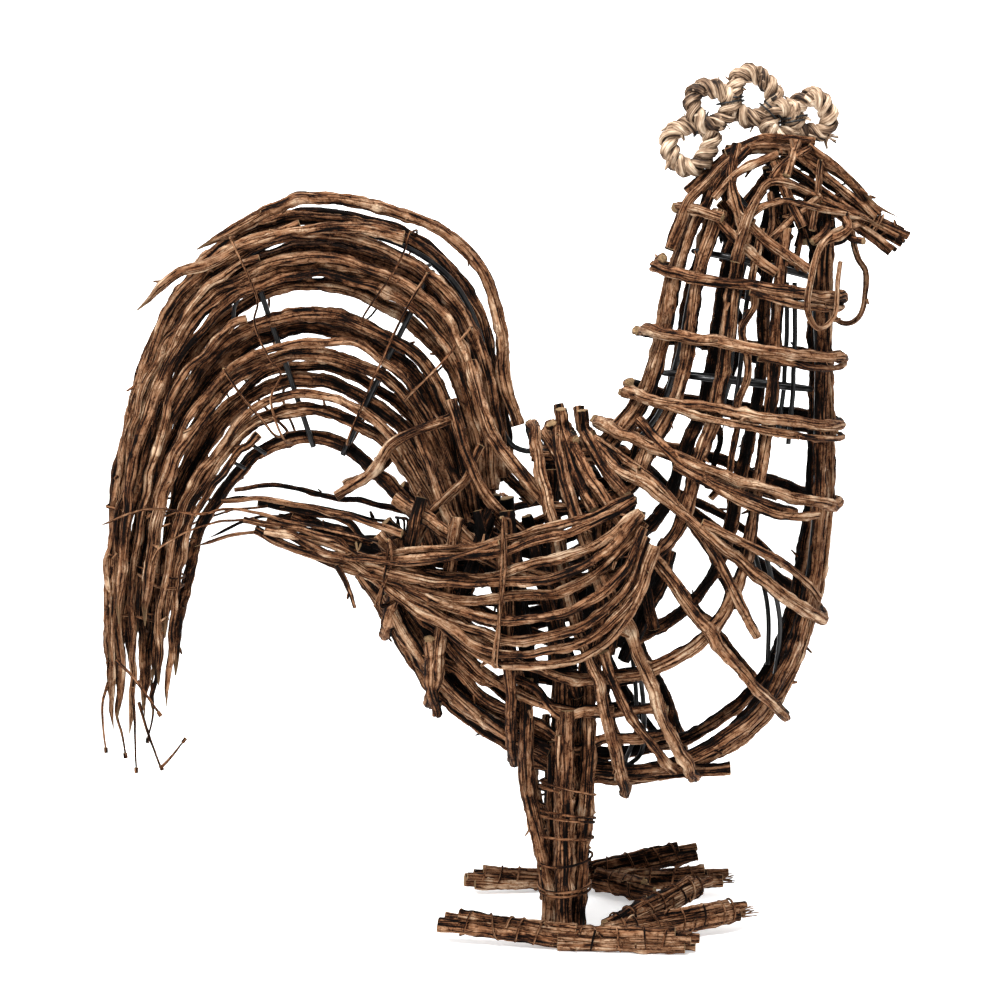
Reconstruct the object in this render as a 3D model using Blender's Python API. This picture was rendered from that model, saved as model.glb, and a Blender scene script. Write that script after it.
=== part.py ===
"""Rooster figure woven from vine twigs over a black wire frame, with a rope comb.

The figure stands on its two legs, faces +X, and its right side is at -Y.
Outlines are drawn in figure units, of which the whole figure is 530 high.
"""

import math

import bmesh
import bpy
from mathutils import Vector

# Driving sizes, in metres
HEIGHT = 0.530              # floor to the top of the comb
BODY_WIDTH = 0.132          # across the stakes at the widest place of the body
STAKE_THICK = 0.008         # long twigs that run from the head to the tail
HOOP_THICK = 0.007          # rings woven round the stakes
WING_THICK = 0.007
PLUME_THICK = 0.008
HEAD_THICK = 0.0075
LEG_CORE_THICK = 0.0125     # middle stick of a leg
LEG_STICK_THICK = 0.0105    # the sticks bound round it
TOE_THICK = 0.0085          # one stick of a toe
BEAK_THICK = 0.0055
WATTLE_THICK = 0.0042
ROPE_THICK = 0.0095
WIRE_THICK = 0.0038
TOUCH = 0.0003              # room left between two pieces that touch
WEAVE_SLACK = 0.0004        # further room where twigs cross aslant

# Side view of the body, in figure units: where each ring crosses the back line and
# the keel line, and half its width as a share of half BODY_WIDTH
UNIT = HEIGHT / 530
STATIONS = (
    ((117, 447), (199, 424), 0.46),
    ((102, 406), (199, 389), 0.50),
    ((94, 365), (201, 354), 0.54),
    ((83, 331), (201, 312), 0.62),
    ((63, 307), (201, 263), 0.80),
    ((54, 298), (193, 195), 0.94),
    ((39, 299), (168, 134), 1.00),
    ((26, 302), (118, 98), 1.00),
    ((11, 305), (61, 90), 0.98),
    ((-5, 307), (11, 109), 0.90),
    ((-20, 309), (-39, 144), 0.78),
    ((-39, 305), (-67, 187), 0.66),
    ((-54, 300), (-98, 231), 0.54),
)
STAKE_ANGLES = (26, 72, 104, 130, 156)      # degrees round from the keel, on each side
RING_STATIONS = (1, 2, 3, 4, 5, 6, 7, 7.7)
CRADLE_STATIONS = (9, 10, 11)               # open on top, where the plumes go in
CRADLE_ANGLE = 112
RIB_STATIONS = (5.5, 6.5)
RIB_COURSE = ((126, 0.05), (141, 0.35), (156, 0.9), (164, 1.0))   # angle, rise in thicknesses
STAKE_POINTS = (0, 1, 2, 3, 4, 4.5, 5, 5.5, 6, 6.5, 7, 7.7, 8.4, 9, 10, 11, 11.7)

# Tail plumes in the side view: the outermost and the innermost sweep, root to tip
OUTER_SWEEP = ((2, 284), (-2, 320), (-16, 378), (-50, 418), (-98, 437), (-148, 433),
               (-190, 405), (-221, 352), (-238, 282), (-245, 215), (-246, 142))
INNER_SWEEP = ((-42, 226), (-52, 250), (-72, 277), (-96, 296), (-124, 304), (-150, 296),
               (-172, 274), (-188, 248), (-198, 218), (-203, 188), (-206, 152))
CREST_SWEEP = ((3, 334), (-1, 367), (-14, 407), (-42, 433), (-76, 447), (-110, 451), (-145, 442),
               (-187, 420))
PLUME_BLENDS = (0.0, 0.07, 0.14, 0.21, 0.30, 0.425, 0.50, 0.61, 0.74, 0.86, 1.0)
PLUME_REACH = (1.0, 0.97, 1.0, 0.93, 0.98, 0.95, 1.0, 0.92, 0.98, 0.93, 1.0)
PLUME_LANES = (1, -1, 2, -2)                # side by side across the tips, from the wire out
LANE_SPREAD = (0.60, 0.78)                  # shares of the way to the tip between which the lanes part
LANE_ROOM = 0.0025                          # between one lane and the next

# Wires of the tail in the side view
TAIL_ARC = ((12, 296), (2, 304), (-7, 330), (-14, 368), (-32, 402), (-66, 424), (-104, 430), (-140, 424),
            (-165, 408))
TAIL_STRUTS = {
    "wire_strut_front": ((-46, 404), (-56, 382), (-72, 350), (-99, 293)),
    "wire_strut_rear": ((-152, 406), (-146, 385), (-134, 350), (-117, 298)),
}

# Wing vines in the side view: the top one and the bottom one, shoulder to tip
WING_TOP = ((80, 268), (54, 259), (12, 249), (-36, 241), (-78, 238))
WING_BOTTOM = ((90, 240), (72, 200), (34, 177), (-12, 184), (-62, 222))
WING_VINES = 6

# Feet: toe tips in figure units, measured from where the leg meets the floor
TOE_LAY = ((-0.76, 0), (0.76, 0), (0, 1.3))     # each stick's place across and up, in half thicknesses
HEEL_LAP = (-0.004, 0.006)                       # where the outer and the back toe start, from the leg
TOE_STAGGER = 0.006                              # from one stick's tip to the next one's
TOES_RIGHT = {
    "back": (-76, -9, 12), "outer": (77, -33, 5), "middle": (112, 20, 11), "inner": (88, 50, 20),
}
TOES_LEFT = {
    "back": (-62, 14, 9), "outer": (90, 35, 22), "middle": (106, 12, 10), "inner": (62, -16, 6),
}

# Legs: where they stand, and their sticks as bearing, spread at the knee and share of the way up from it
LEG_X = 38
KNEE = 100
LEG_STICKS = ((5, 1.5, 0.94), (93, 1.0, 0.7), (184, None, 1.0), (271, 1.0, 0.7))
STICK_SINK = 0.18           # share of a stick's thickness that lies in the stick next to it
LEG_NEST = 0.12             # share of a stick's thickness that a slanting stake lets it come nearer

# Head: the ridge from the nape to the beak, and the twigs beside it, whose lower ends are lapped
# on stakes. Places are x, z or x, share of the head's half width, z
RIDGE = ((113, 455), (121, 462), (134, 473), (150, 480), (171, 480), (190, 478), (206, 466))
CROWN = ((133, 0.50, 468), (150, 0.54, 481), (178, 0.50, 480), (198, 0.40, 468))
BROW = ((160, 0.90, 459), (178, 0.82, 457), (198, 0.58, 448))
CROWN_ANGLE = 156
BROW_ANGLE = 104
LAP_STATIONS = (0.7, 0.3, 0.0)

# Beak: the sticks' places round its middle as shares of a stick's thickness: across, up and how
# much lower the tip is
BEAK_START = (222, 438)
BEAK_TIP = (249, 425)
BEAK_STICKS = ((-0.62, 0, 0), (0.62, 0, 0), (0, 0.82, 0.36), (0, -0.82, -1.27), (0, 0, -0.55))

# Wattles, which hang from the brow: places as x, share of the way out to the outside of the
# neck's rings, z
WATTLE_RIGHT = ((201, 0.42, 430), (191, 0.60, 420), (185, 0.82, 404), (182, 0.93, 386), (186, 0.87, 375),
                (194, 0.66, 373), (201, 0.55, 381), (202, 0.59, 396), (205, 0.50, 412))
WATTLE_LEFT = ((220, 0.30, 416), (225, 0.21, 405), (224, 0.21, 385), (220, 0.28, 376), (213, 0.42, 374),
               (206, 0.53, 380), (203, 0.57, 392))
WATTLE_HOLD = 0.86          # share of the way along the brow at which a wattle hangs

# Comb: rings of rope from the nape forward, as radius, place across, bearing from the ring
# before, and room between the two ropes' middles as a share of the rope's thickness
COMB_START = (115, 483)
RING_SIDES = 11
FLAT = 0.95                 # how far a flat side is from the middle, next to an edge
COMB_RINGS = ((12, 0.6, None, None), (10.5, -1.1, 63.4, 0.45), (12, 0.9, 11.9, 0.43), (8, -0.7, -40.7, 0.40),
              (10.5, 1.2, 13.2, -0.11))

PIECES = bpy.data.collections.new("rattan_chicken")


def clear_scene():
    for thing in list(bpy.data.objects):
        bpy.data.objects.remove(thing, do_unlink=True)
    bpy.context.scene.collection.children.link(PIECES)


def finish(name, colour, roughness, metallic=0.0):
    """A plain material in the piece's own colour."""
    material = bpy.data.materials.new(name)
    material.use_nodes = True
    shader = material.node_tree.nodes["Principled BSDF"]
    shader.inputs["Base Color"].default_value = (*colour, 1.0)
    shader.inputs["Roughness"].default_value = roughness
    shader.inputs["Metallic"].default_value = metallic
    return material


def on_figure(x, y, z):
    """A place given in figure units."""
    return Vector((x, y, z)) * UNIT


def curve_value(values, t):
    """Smooth curve through evenly numbered values, at place t."""
    last = len(values) - 1
    t = min(max(t, 0.0), float(last))
    i = min(int(t), last - 1)
    f = t - i
    p1, p2 = values[i], values[i + 1]
    p0 = values[i - 1] if i > 0 else p1 * 2 - p2
    p3 = values[i + 2] if i + 2 <= last else p2 * 2 - p1
    return (p1 * 2 + (p2 - p0) * f + (p0 * 2 - p1 * 5 + p2 * 4 - p3) * f * f
            + (p1 * 3 - p0 - p2 * 3 + p3) * f * f * f) * 0.5


def even_points(points, count):
    """Points spaced evenly along the smooth curve through the given points."""
    fine = [curve_value(points, (len(points) - 1) * i / 240) for i in range(241)]
    lengths = [0.0]
    for a, b in zip(fine, fine[1:]):
        lengths.append(lengths[-1] + (b - a).length)
    result = []
    j = 0
    for i in range(count):
        goal = lengths[-1] * i / (count - 1)
        while j < len(fine) - 2 and lengths[j + 1] < goal:
            j += 1
        share = (goal - lengths[j]) / max(lengths[j + 1] - lengths[j], 1e-9)
        result.append(fine[j].lerp(fine[j + 1], min(share, 1.0)))
    return result


# The body's surface, on which the stakes lie
BACKS = [on_figure(back[0], 0, back[1]) for back, keel, width in STATIONS]
KEELS = [on_figure(keel[0], 0, keel[1]) for back, keel, width in STATIONS]
WIDTHS = [width * BODY_WIDTH / 2 for back, keel, width in STATIONS]


def section_point(t, angle):
    """Point on the body's surface at station t, angle in degrees round from the keel."""
    back, keel = curve_value(BACKS, t), curve_value(KEELS, t)
    turn = math.radians(angle)
    middle = (back + keel) / 2
    across = Vector((0, curve_value(WIDTHS, t) * math.sin(turn), 0))
    return middle - (back - middle) * math.cos(turn) + across


def body_point(t, angle, lift=0.0):
    """Point at a height lift above the body's surface, measured square to it."""
    here = section_point(t, angle)
    along = section_point(t + 0.1, angle) - section_point(t - 0.1, angle)
    around = section_point(t, angle + 2) - section_point(t, angle - 2)
    outward = along.cross(around).normalized()
    middle = (curve_value(BACKS, t) + curve_value(KEELS, t)) / 2
    if outward.dot(here - middle) < 0:
        outward = -outward
    return here + outward * lift


def body_address(x, z):
    """Station and angle of the place seen at x, z in the side view."""
    place = Vector((x, 0, z))
    low, high = 3.0, 12.0
    for _ in range(40):
        t = (low + high) / 2
        back, keel = curve_value(BACKS, t), curve_value(KEELS, t)
        if (keel - back).cross(place - back).y < 0:
            high = t
        else:
            low = t
    share = (place - back).dot(keel - back) / (keel - back).length_squared
    share = min(max(share, 0.02), 0.98)
    return t, math.degrees(math.acos(2 * share - 1))


HOOP_LIFT = (STAKE_THICK + HOOP_THICK) / 2 + TOUCH + WEAVE_SLACK
WIRE_LIFT = -((STAKE_THICK + WIRE_THICK) / 2 + TOUCH + WEAVE_SLACK)
RING_WIRE_LIFT = WIRE_LIFT - WIRE_THICK - TOUCH
WING_LIFT = HOOP_LIFT + (HOOP_THICK + WING_THICK) / 2 + TOUCH + 2 * WEAVE_SLACK
LAP_LIFT = (STAKE_THICK + HEAD_THICK) / 2 + TOUCH + WEAVE_SLACK
WATTLE_REACH = WIDTHS[1] + HOOP_LIFT + (HOOP_THICK + WATTLE_THICK) / 2 + TOUCH


def stake_at(angle, x):
    """Where the stake at this angle passes x on its way under the body."""
    low, high = 6.5, 11.0
    for _ in range(40):
        t = (low + high) / 2
        if body_point(t, angle).x > x:
            low = t
        else:
            high = t
    return body_point(t, angle)


# A leg stands beside the innermost stake and ends under the next one
LEG_RING = LEG_CORE_THICK / 2 + LEG_STICK_THICK * (0.5 - STICK_SINK)
LEG_REACH = LEG_RING + LEG_STICK_THICK / 2
LEG_FRONT = LEG_X * UNIT + LEG_REACH
LEG_ROOM = STAKE_THICK / 2 + LEG_REACH + TOUCH - LEG_STICK_THICK * LEG_NEST
LEG_Y = stake_at(STAKE_ANGLES[0], LEG_FRONT).y + LEG_ROOM
LEG_TOP = stake_at(STAKE_ANGLES[1], LEG_X * UNIT).z - STAKE_THICK / 2 - 3 * TOUCH


def tube(name, points, thick, material, closed=False):
    """A twig or a wire: a round bar along its points, with closed ends."""
    curve = bpy.data.curves.new(name, "CURVE")
    curve.dimensions = "3D"
    curve.bevel_depth = thick / 2
    curve.bevel_resolution = 1
    curve.use_fill_caps = not closed
    spline = curve.splines.new("POLY")
    spline.points.add(len(points) - 1)
    for spot, point in zip(spline.points, points):
        spot.co = (*point, 1.0)
    spline.use_cyclic_u = closed
    twig = bpy.data.objects.new(name, curve)
    PIECES.objects.link(twig)
    curve.materials.append(material)
    return twig


def as_mesh(twig):
    """The same bar as a mesh whose caps are joined to its side."""
    name = twig.name
    bpy.context.view_layer.update()
    mesh = bpy.data.meshes.new_from_object(twig.evaluated_get(bpy.context.evaluated_depsgraph_get()))
    bpy.data.objects.remove(twig)
    form = bmesh.new()
    form.from_mesh(mesh)
    bmesh.ops.remove_doubles(form, verts=form.verts, dist=0.00001)
    form.to_mesh(mesh)
    form.free()
    solid = bpy.data.objects.new(name, mesh)
    PIECES.objects.link(solid)
    return solid


def bind(name, twigs, solver="EXACT"):
    """Twigs that run into each other, joined into one solid."""
    solids = [as_mesh(twig) for twig in twigs]
    first = solids[0]
    for other in solids[1:]:
        union = first.modifiers.new("join", "BOOLEAN")
        union.operation = "UNION"
        union.solver = solver
        union.object = other
    bpy.context.view_layer.update()
    mesh = bpy.data.meshes.new_from_object(first.evaluated_get(bpy.context.evaluated_depsgraph_get()))
    for solid in solids:
        bpy.data.objects.remove(solid)
    joined = bpy.data.objects.new(name, mesh)
    PIECES.objects.link(joined)
    return joined


def side_name(base, side):
    return f"{base}_{'right' if side < 0 else 'left'}"


def build_wires(wire):
    """The black frame inside: keel, back and tail arc, neck rings and tail struts."""
    keel = [body_point(t, 0, WIRE_LIFT) for t in STAKE_POINTS[1:]]
    tube("wire_keel", keel, WIRE_THICK, wire)

    spine = [body_point(t, 180, WIRE_LIFT) for t in (0.5, 1, 2, 3, 4, 5, 6, 7)]
    spine += [on_figure(x, 0, z) for x, z in TAIL_ARC]
    tube("wire_back", even_points(spine, 19), WIRE_THICK, wire)

    for name, t in (("wire_neck_ring_upper", 0.6), ("wire_neck_ring_lower", 2.5)):
        ring = [body_point(t, angle, RING_WIRE_LIFT) for angle in range(0, 360, 36)]
        tube(name, ring, WIRE_THICK, wire, closed=True)

    for name, places in TAIL_STRUTS.items():
        tube(name, [on_figure(x, 0, z) for x, z in places], WIRE_THICK, wire)


def build_stakes(bark):
    """Long twigs from the head over the neck and body to the root of the tail."""
    tube("stake_keel", [body_point(t, 0) for t in STAKE_POINTS], STAKE_THICK, bark)
    for side in (-1, 1):
        for number, angle in enumerate(STAKE_ANGLES, 1):
            reach = STAKE_POINTS if angle < 100 else [t for t in STAKE_POINTS if t not in (4.5, 5.5, 6.5)]
            if angle > CRADLE_ANGLE:
                reach = [t for t in reach if t < CRADLE_STATIONS[0]]
            points = [body_point(t, side * angle) for t in reach]
            tube(f"{side_name('stake', side)}_{number}", points, STAKE_THICK, bark)


def ring_angles():
    """Angles all round at which a ring has a point: over each stake, and between."""
    marks = (0,) + STAKE_ANGLES + (180,)
    widest = marks[2:4]
    half = sorted(marks + ((marks[1] + marks[2]) / 2, sum(widest) / 2))
    return half + [-a for a in reversed(half[1:-1])]


def build_hoops(bark):
    """Rings round the stakes, and the open cradles behind them."""
    angles = ring_angles()
    for number, t in enumerate(RING_STATIONS, 1):
        ring = [body_point(t, angle, HOOP_LIFT) for angle in angles]
        tube(f"hoop_{number}", ring, HOOP_THICK, bark, closed=True)
    reach = sorted(a if a <= 180 else a - 360 for a in angles if abs(a) < CRADLE_ANGLE)
    for number, t in enumerate(CRADLE_STATIONS, len(RING_STATIONS) + 1):
        points = [body_point(t, angle, HOOP_LIFT) for angle in (-CRADLE_ANGLE, *reach, CRADLE_ANGLE)]
        tube(f"hoop_{number}", points, HOOP_THICK, bark)


def build_ribs(bark):
    """Short twigs over the saddle, whose cut ends stand up above the back."""
    for side in (-1, 1):
        for number, t in enumerate(RIB_STATIONS, 1):
            points = [body_point(t, side * a, HOOP_LIFT + HOOP_THICK * rise) for a, rise in RIB_COURSE]
            points.append(points[-1] + on_figure(0, side * 2, 14))
            tube(f"{side_name('rib', side)}_{number}", points, HOOP_THICK, bark)


def wing_vine(side, share):
    """One vine of a wing, at its share of the way from the top vine to the bottom one."""
    points = []
    for (x0, z0), (x1, z1) in zip(WING_TOP, WING_BOTTOM):
        x, z = x0 + (x1 - x0) * share, z0 + (z1 - z0) * share
        points.append(on_figure(x, 0, z))
    return [body_point(*signed(body_address(p.x, p.z), side), WING_LIFT) for p in even_points(points, 6)]


def signed(address, side):
    t, angle = address
    return t, side * angle


def build_wings(bark):
    for side in (-1, 1):
        vines = []
        for number in range(WING_VINES):
            path = wing_vine(side, number / (WING_VINES - 1))
            vines.append(tube(f"vine_{number}", path, WING_THICK, bark))
        bind(side_name("wing", side), vines)


def plume_lane(lane):
    """Distance of a plume's middle from the tail wires, by its lane."""
    first = (WIRE_THICK + PLUME_THICK) / 2 + TOUCH
    return math.copysign(first + (abs(lane) - 1) * (PLUME_THICK + LANE_ROOM), lane)


def build_plumes(bark):
    """Long twigs that arch up and back from the root of the tail and hang down."""
    for number, (share, reach) in enumerate(zip(PLUME_BLENDS, PLUME_REACH), 1):
        sweep = [on_figure(x0 + (x1 - x0) * share, 0, z0 + (z1 - z0) * share)
                 for (x0, z0), (x1, z1) in zip(OUTER_SWEEP, INNER_SWEEP)]
        lane = PLUME_LANES[(number - 1) % len(PLUME_LANES)]
        points = []
        for i in range(21):
            part = reach * i / 20
            points.append(curve_value(sweep, (len(sweep) - 1) * part) + Vector((0, lane_at(lane, part), 0)))
        tube(f"plume_{number}", even_points(points, 9), PLUME_THICK, bark)
    held = body_point(RING_STATIONS[-1], 180, HOOP_LIFT)
    held.x -= (HOOP_THICK + PLUME_THICK) / 2 + TOUCH
    crest = [held] + [on_figure(x, 0, z) for x, z in CREST_SWEEP]
    crest = [p + Vector((0, plume_lane(-1), 0)) for p in crest]
    tube("plume_crest", even_points(crest, 9), PLUME_THICK, bark)


def lane_at(lane, share):
    """Distance of a plume's middle from the tail wires at its share of the way to the tip."""
    near, far = plume_lane(math.copysign(1, lane)), plume_lane(lane)
    parting = min(max((share - LANE_SPREAD[0]) / (LANE_SPREAD[1] - LANE_SPREAD[0]), 0), 1)
    return near + (far - near) * parting


def leg_foot(side):
    return Vector((LEG_X * UNIT, side * LEG_Y, 0))


def build_leg(side, bark):
    """Sticks bound round a thicker one that stands flat on the floor."""
    foot = leg_foot(side)
    knee, top = Vector((0, 0, KNEE * UNIT)), Vector((0, 0, LEG_TOP))
    twigs = [tube("stick_0", [foot, foot + knee, foot + top], LEG_CORE_THICK, bark)]
    for number, (bearing, spread, height) in enumerate(LEG_STICKS, 1):
        turn = math.radians(bearing)
        low = foot + Vector((math.cos(turn), math.sin(turn), 0)) * LEG_RING + Vector((0, 0, number * TOUCH))
        upper = low + knee
        if spread is None:
            upper.x = cradle_front() + (HOOP_THICK + LEG_STICK_THICK) / 2 + TOUCH + WEAVE_SLACK
        else:
            upper.x += math.cos(turn) * LEG_RING * (spread - 1)
        path = [low, low + knee * 0.3, upper, upper + (top - knee) * height]
        twigs.append(tube(f"stick_{number}", path, LEG_STICK_THICK, bark))
    bind(side_name("leg", side), twigs)


def cradle_front():
    """How far forward the first cradle is beside a leg."""
    t = CRADLE_STATIONS[0]
    angle = math.degrees(math.asin(LEG_Y / curve_value(WIDTHS, t)))
    return body_point(t, angle, HOOP_LIFT).x


def toe_sticks(start, tip, bark):
    """Three sticks laid along a toe: two on the floor side, one on top."""
    along = (tip - start).normalized()
    across = Vector((-along.y, along.x, 0)).normalized()
    half = TOE_THICK / 2
    twigs = []
    for n, (side, up) in enumerate(TOE_LAY):
        shift = across * side * half + Vector((0, 0, up * half))
        low = start + shift
        high = tip + shift - along * TOE_STAGGER * n
        twigs.append(tube(f"toe_stick_{n}", [low, high], TOE_THICK, bark))
    return twigs


def toe_knots(side, tips):
    """Where each toe starts: two beside the leg's foot, and two laced into the outer one in front of it."""
    beside = side * (LEG_REACH + TOE_THICK * 0.88 + 3 * TOUCH)
    before = LEG_REACH + TOE_THICK
    lowest = TOE_THICK * 0.51
    outer = Vector((HEEL_LAP[0], beside, lowest))
    passing = outer.lerp(tips["outer"], (before - outer.x) / (tips["outer"].x - outer.x))
    return {
        "outer": outer,
        "back": Vector((HEEL_LAP[1], beside * 1.03, lowest * 1.06)),
        "middle": Vector((before, passing.y - side * TOE_THICK * 0.9, lowest * 1.03)),
        "inner": Vector((before + TOE_THICK * 0.1, passing.y - side * TOE_THICK * 1.4, lowest * 1.5)),
    }


def build_foot(side, bark):
    """Toes that pass beside the leg's foot and are laced into each other in front of it."""
    tips = {name: on_figure(*place) for name, place in (TOES_RIGHT if side < 0 else TOES_LEFT).items()}
    twigs = []
    for name, knot in toe_knots(side, tips).items():
        twigs += toe_sticks(leg_foot(side) + knot, leg_foot(side) + tips[name], bark)
    bind(side_name("foot", side), twigs, solver="MANIFOLD")


def on_head(side, reach, places):
    """Places given as x, share of a reach to this side, and z."""
    return [on_figure(x, 0, z) + Vector((0, side * share * reach, 0)) for x, share, z in places]


def beside_beak(share, up, across):
    """A place along the beak's bundle of sticks, moved up and across from its middle."""
    start, tip = on_figure(BEAK_START[0], 0, BEAK_START[1]), on_figure(BEAK_TIP[0], 0, BEAK_TIP[1])
    along = (tip - start).normalized()
    return start.lerp(tip, share) + Vector((-along.z, 0, along.x)) * up + Vector((0, across, 0))


def ridge_points():
    """The twig along the top of the head, whose front end lies on the beak."""
    above = (BEAK_STICKS[2][1] + 0.5) * BEAK_THICK + HEAD_THICK / 2 + TOUCH
    return [on_figure(x, 0, z) for x, z in RIDGE] + [beside_beak(share, above, 0) for share in (0.1, 0.6)]


def head_twig(side, angle, places, ends):
    """A twig lapped on the stake at this angle, then over its places to its end."""
    lap = [body_point(t, side * angle, LAP_LIFT) for t in LAP_STATIONS]
    return lap[:-1] + even_points(lap[-1:] + on_head(side, WIDTHS[0], places) + ends, 9)


def brow_points(side):
    aside = (BEAK_STICKS[1][0] + 0.5) * BEAK_THICK + HEAD_THICK / 2 + TOUCH
    return head_twig(side, BROW_ANGLE, BROW, [beside_beak(share, 0, side * aside) for share in (0.0, 0.4)])


def build_head(bark):
    """Twigs over the crown and past the eye, ending at the beak."""
    ridge = ridge_points()
    tube("crown_ridge", even_points(ridge, 10), HEAD_THICK, bark)
    for side in (-1, 1):
        aside = Vector((0, side * (HEAD_THICK + TOUCH), 0))
        crown = head_twig(side, CROWN_ANGLE, CROWN, [ridge[-3] + aside, ridge[-2] + aside])
        tube(side_name("crown", side), crown, HEAD_THICK, bark)
        tube(side_name("brow", side), brow_points(side), HEAD_THICK, bark)


def build_beak(bark):
    sticks = []
    for n, (across, rise, drop) in enumerate(BEAK_STICKS):
        start = on_figure(BEAK_START[0], 0, BEAK_START[1]) + Vector((0, across, rise)) * BEAK_THICK
        tip = on_figure(BEAK_TIP[0], 0, BEAK_TIP[1]) + Vector((0, across, rise + drop)) * BEAK_THICK
        sticks.append(tube(f"beak_stick_{n}", [start, tip], BEAK_THICK, bark))
    bind("beak", sticks)


def build_wattles(bark):
    """Loops of thin vine that hang from the brow twigs."""
    for side, places in ((-1, WATTLE_RIGHT), (1, WATTLE_LEFT)):
        brow = brow_points(side)
        held = curve_value(brow, (len(brow) - 1) * WATTLE_HOLD)
        held.z -= (HEAD_THICK + WATTLE_THICK) / 2 + TOUCH
        path = even_points([held] + on_head(side, WATTLE_REACH, places), 10)
        tube(side_name("wattle", side), path, WATTLE_THICK, bark)


def comb_middles():
    """Middle of each ring of the comb, which rests on the ridge."""
    middle = on_figure(COMB_START[0], 0, COMB_START[1])
    middles = []
    before = 0
    for size, across, bearing, room in COMB_RINGS:
        if bearing is not None:
            turn = math.radians(bearing)
            step = (before + size) * UNIT + room * ROPE_THICK
            middle = middle + Vector((math.cos(turn), 0, math.sin(turn))) * step
        before = size
        middles.append(middle)
    ridge = even_points(ridge_points(), 60)
    free = min(
        middle.z - spot.z - math.sqrt(max(reach ** 2 - (middle.x - spot.x) ** 2, 0))
        for middle, (size, *_) in zip(middles, COMB_RINGS)
        for reach in (size * UNIT * FLAT + (ROPE_THICK + HEAD_THICK) / 2 * FLAT + TOUCH,)
        for spot in ridge
        if abs(middle.x - spot.x) < reach
    )
    return [middle - Vector((0, 0, free)) for middle in middles]


def build_comb(rope):
    """Rope laid in a row of rings along the top of the head."""
    loops = []
    for n, (middle, (size, across, bearing, room)) in enumerate(zip(comb_middles(), COMB_RINGS)):
        turns = [2 * math.pi * (k + 0.4 * n) / RING_SIDES for k in range(RING_SIDES)]
        ring = [middle + on_figure(size * math.cos(a), across, size * math.sin(a)) for a in turns]
        loops.append(tube(f"loop_{n}", ring, ROPE_THICK, rope, closed=True))
    bind("comb", loops)


def main():
    clear_scene()
    bark = finish("vine_bark", (0.16, 0.085, 0.045), 0.8)
    wire = finish("black_wire", (0.015, 0.015, 0.017), 0.35, 0.4)
    rope = finish("straw_rope", (0.42, 0.33, 0.22), 0.85)
    build_wires(wire)
    build_stakes(bark)
    build_hoops(bark)
    build_ribs(bark)
    build_wings(bark)
    build_plumes(bark)
    for side in (-1, 1):
        build_leg(side, bark)
        build_foot(side, bark)
    build_head(bark)
    build_beak(bark)
    build_wattles(bark)
    build_comb(rope)


main()
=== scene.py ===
import math

import bmesh
import bpy
import numpy as np
from mathutils import Matrix, Vector


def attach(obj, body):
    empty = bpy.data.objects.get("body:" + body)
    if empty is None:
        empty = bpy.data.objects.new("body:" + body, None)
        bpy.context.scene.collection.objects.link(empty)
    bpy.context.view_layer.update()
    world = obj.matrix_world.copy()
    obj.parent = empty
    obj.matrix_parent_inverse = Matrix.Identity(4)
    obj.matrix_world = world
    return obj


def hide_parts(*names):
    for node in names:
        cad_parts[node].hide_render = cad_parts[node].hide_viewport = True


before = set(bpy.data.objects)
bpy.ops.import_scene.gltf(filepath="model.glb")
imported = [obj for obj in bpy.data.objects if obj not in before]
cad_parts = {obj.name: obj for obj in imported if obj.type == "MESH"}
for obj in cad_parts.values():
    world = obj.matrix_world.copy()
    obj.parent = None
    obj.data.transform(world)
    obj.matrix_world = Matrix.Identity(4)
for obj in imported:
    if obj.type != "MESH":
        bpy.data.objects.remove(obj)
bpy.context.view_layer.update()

# Sizes of the figure, in metres, as its solids have them
HEIGHT = 0.530              # floor to the top of the comb
BODY_WIDTH = 0.132          # across the stakes at the widest place of the body
STAKE_THICK = 0.008         # long twigs that run from the head to the tail
HOOP_THICK = 0.007          # rings woven round the stakes
WING_THICK = 0.007
PLUME_THICK = 0.008
HEAD_THICK = 0.0075
LEG_CORE_THICK = 0.0125     # middle stick of a leg
LEG_STICK_THICK = 0.0105    # the sticks bound round it
TOE_THICK = 0.0085          # one stick of a toe
BEAK_THICK = 0.0055
WATTLE_THICK = 0.0042
ROPE_THICK = 0.0095
WIRE_THICK = 0.0038
TOUCH = 0.0003              # room left between two pieces that touch
WEAVE_SLACK = 0.0004        # further room where twigs cross aslant

# Side view of the body, in figure units: where each ring crosses the back line and
# the keel line, and half its width as a share of half BODY_WIDTH
UNIT = HEIGHT / 530
STATIONS = (
    ((117, 447), (199, 424), 0.46),
    ((102, 406), (199, 389), 0.50),
    ((94, 365), (201, 354), 0.54),
    ((83, 331), (201, 312), 0.62),
    ((63, 307), (201, 263), 0.80),
    ((54, 298), (193, 195), 0.94),
    ((39, 299), (168, 134), 1.00),
    ((26, 302), (118, 98), 1.00),
    ((11, 305), (61, 90), 0.98),
    ((-5, 307), (11, 109), 0.90),
    ((-20, 309), (-39, 144), 0.78),
    ((-39, 305), (-67, 187), 0.66),
    ((-54, 300), (-98, 231), 0.54),
)
STAKE_ANGLES = (26, 72, 104, 130, 156)      # degrees round from the keel, on each side
RING_STATIONS = (1, 2, 3, 4, 5, 6, 7, 7.7)
CRADLE_STATIONS = (9, 10, 11)               # open on top, where the plumes go in
CRADLE_ANGLE = 112
RIB_STATIONS = (5.5, 6.5)
RIB_COURSE = ((126, 0.05), (141, 0.35), (156, 0.9), (164, 1.0))   # angle, rise in thicknesses
STAKE_END = 11.7            # station where the long twigs end under the tail

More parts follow.
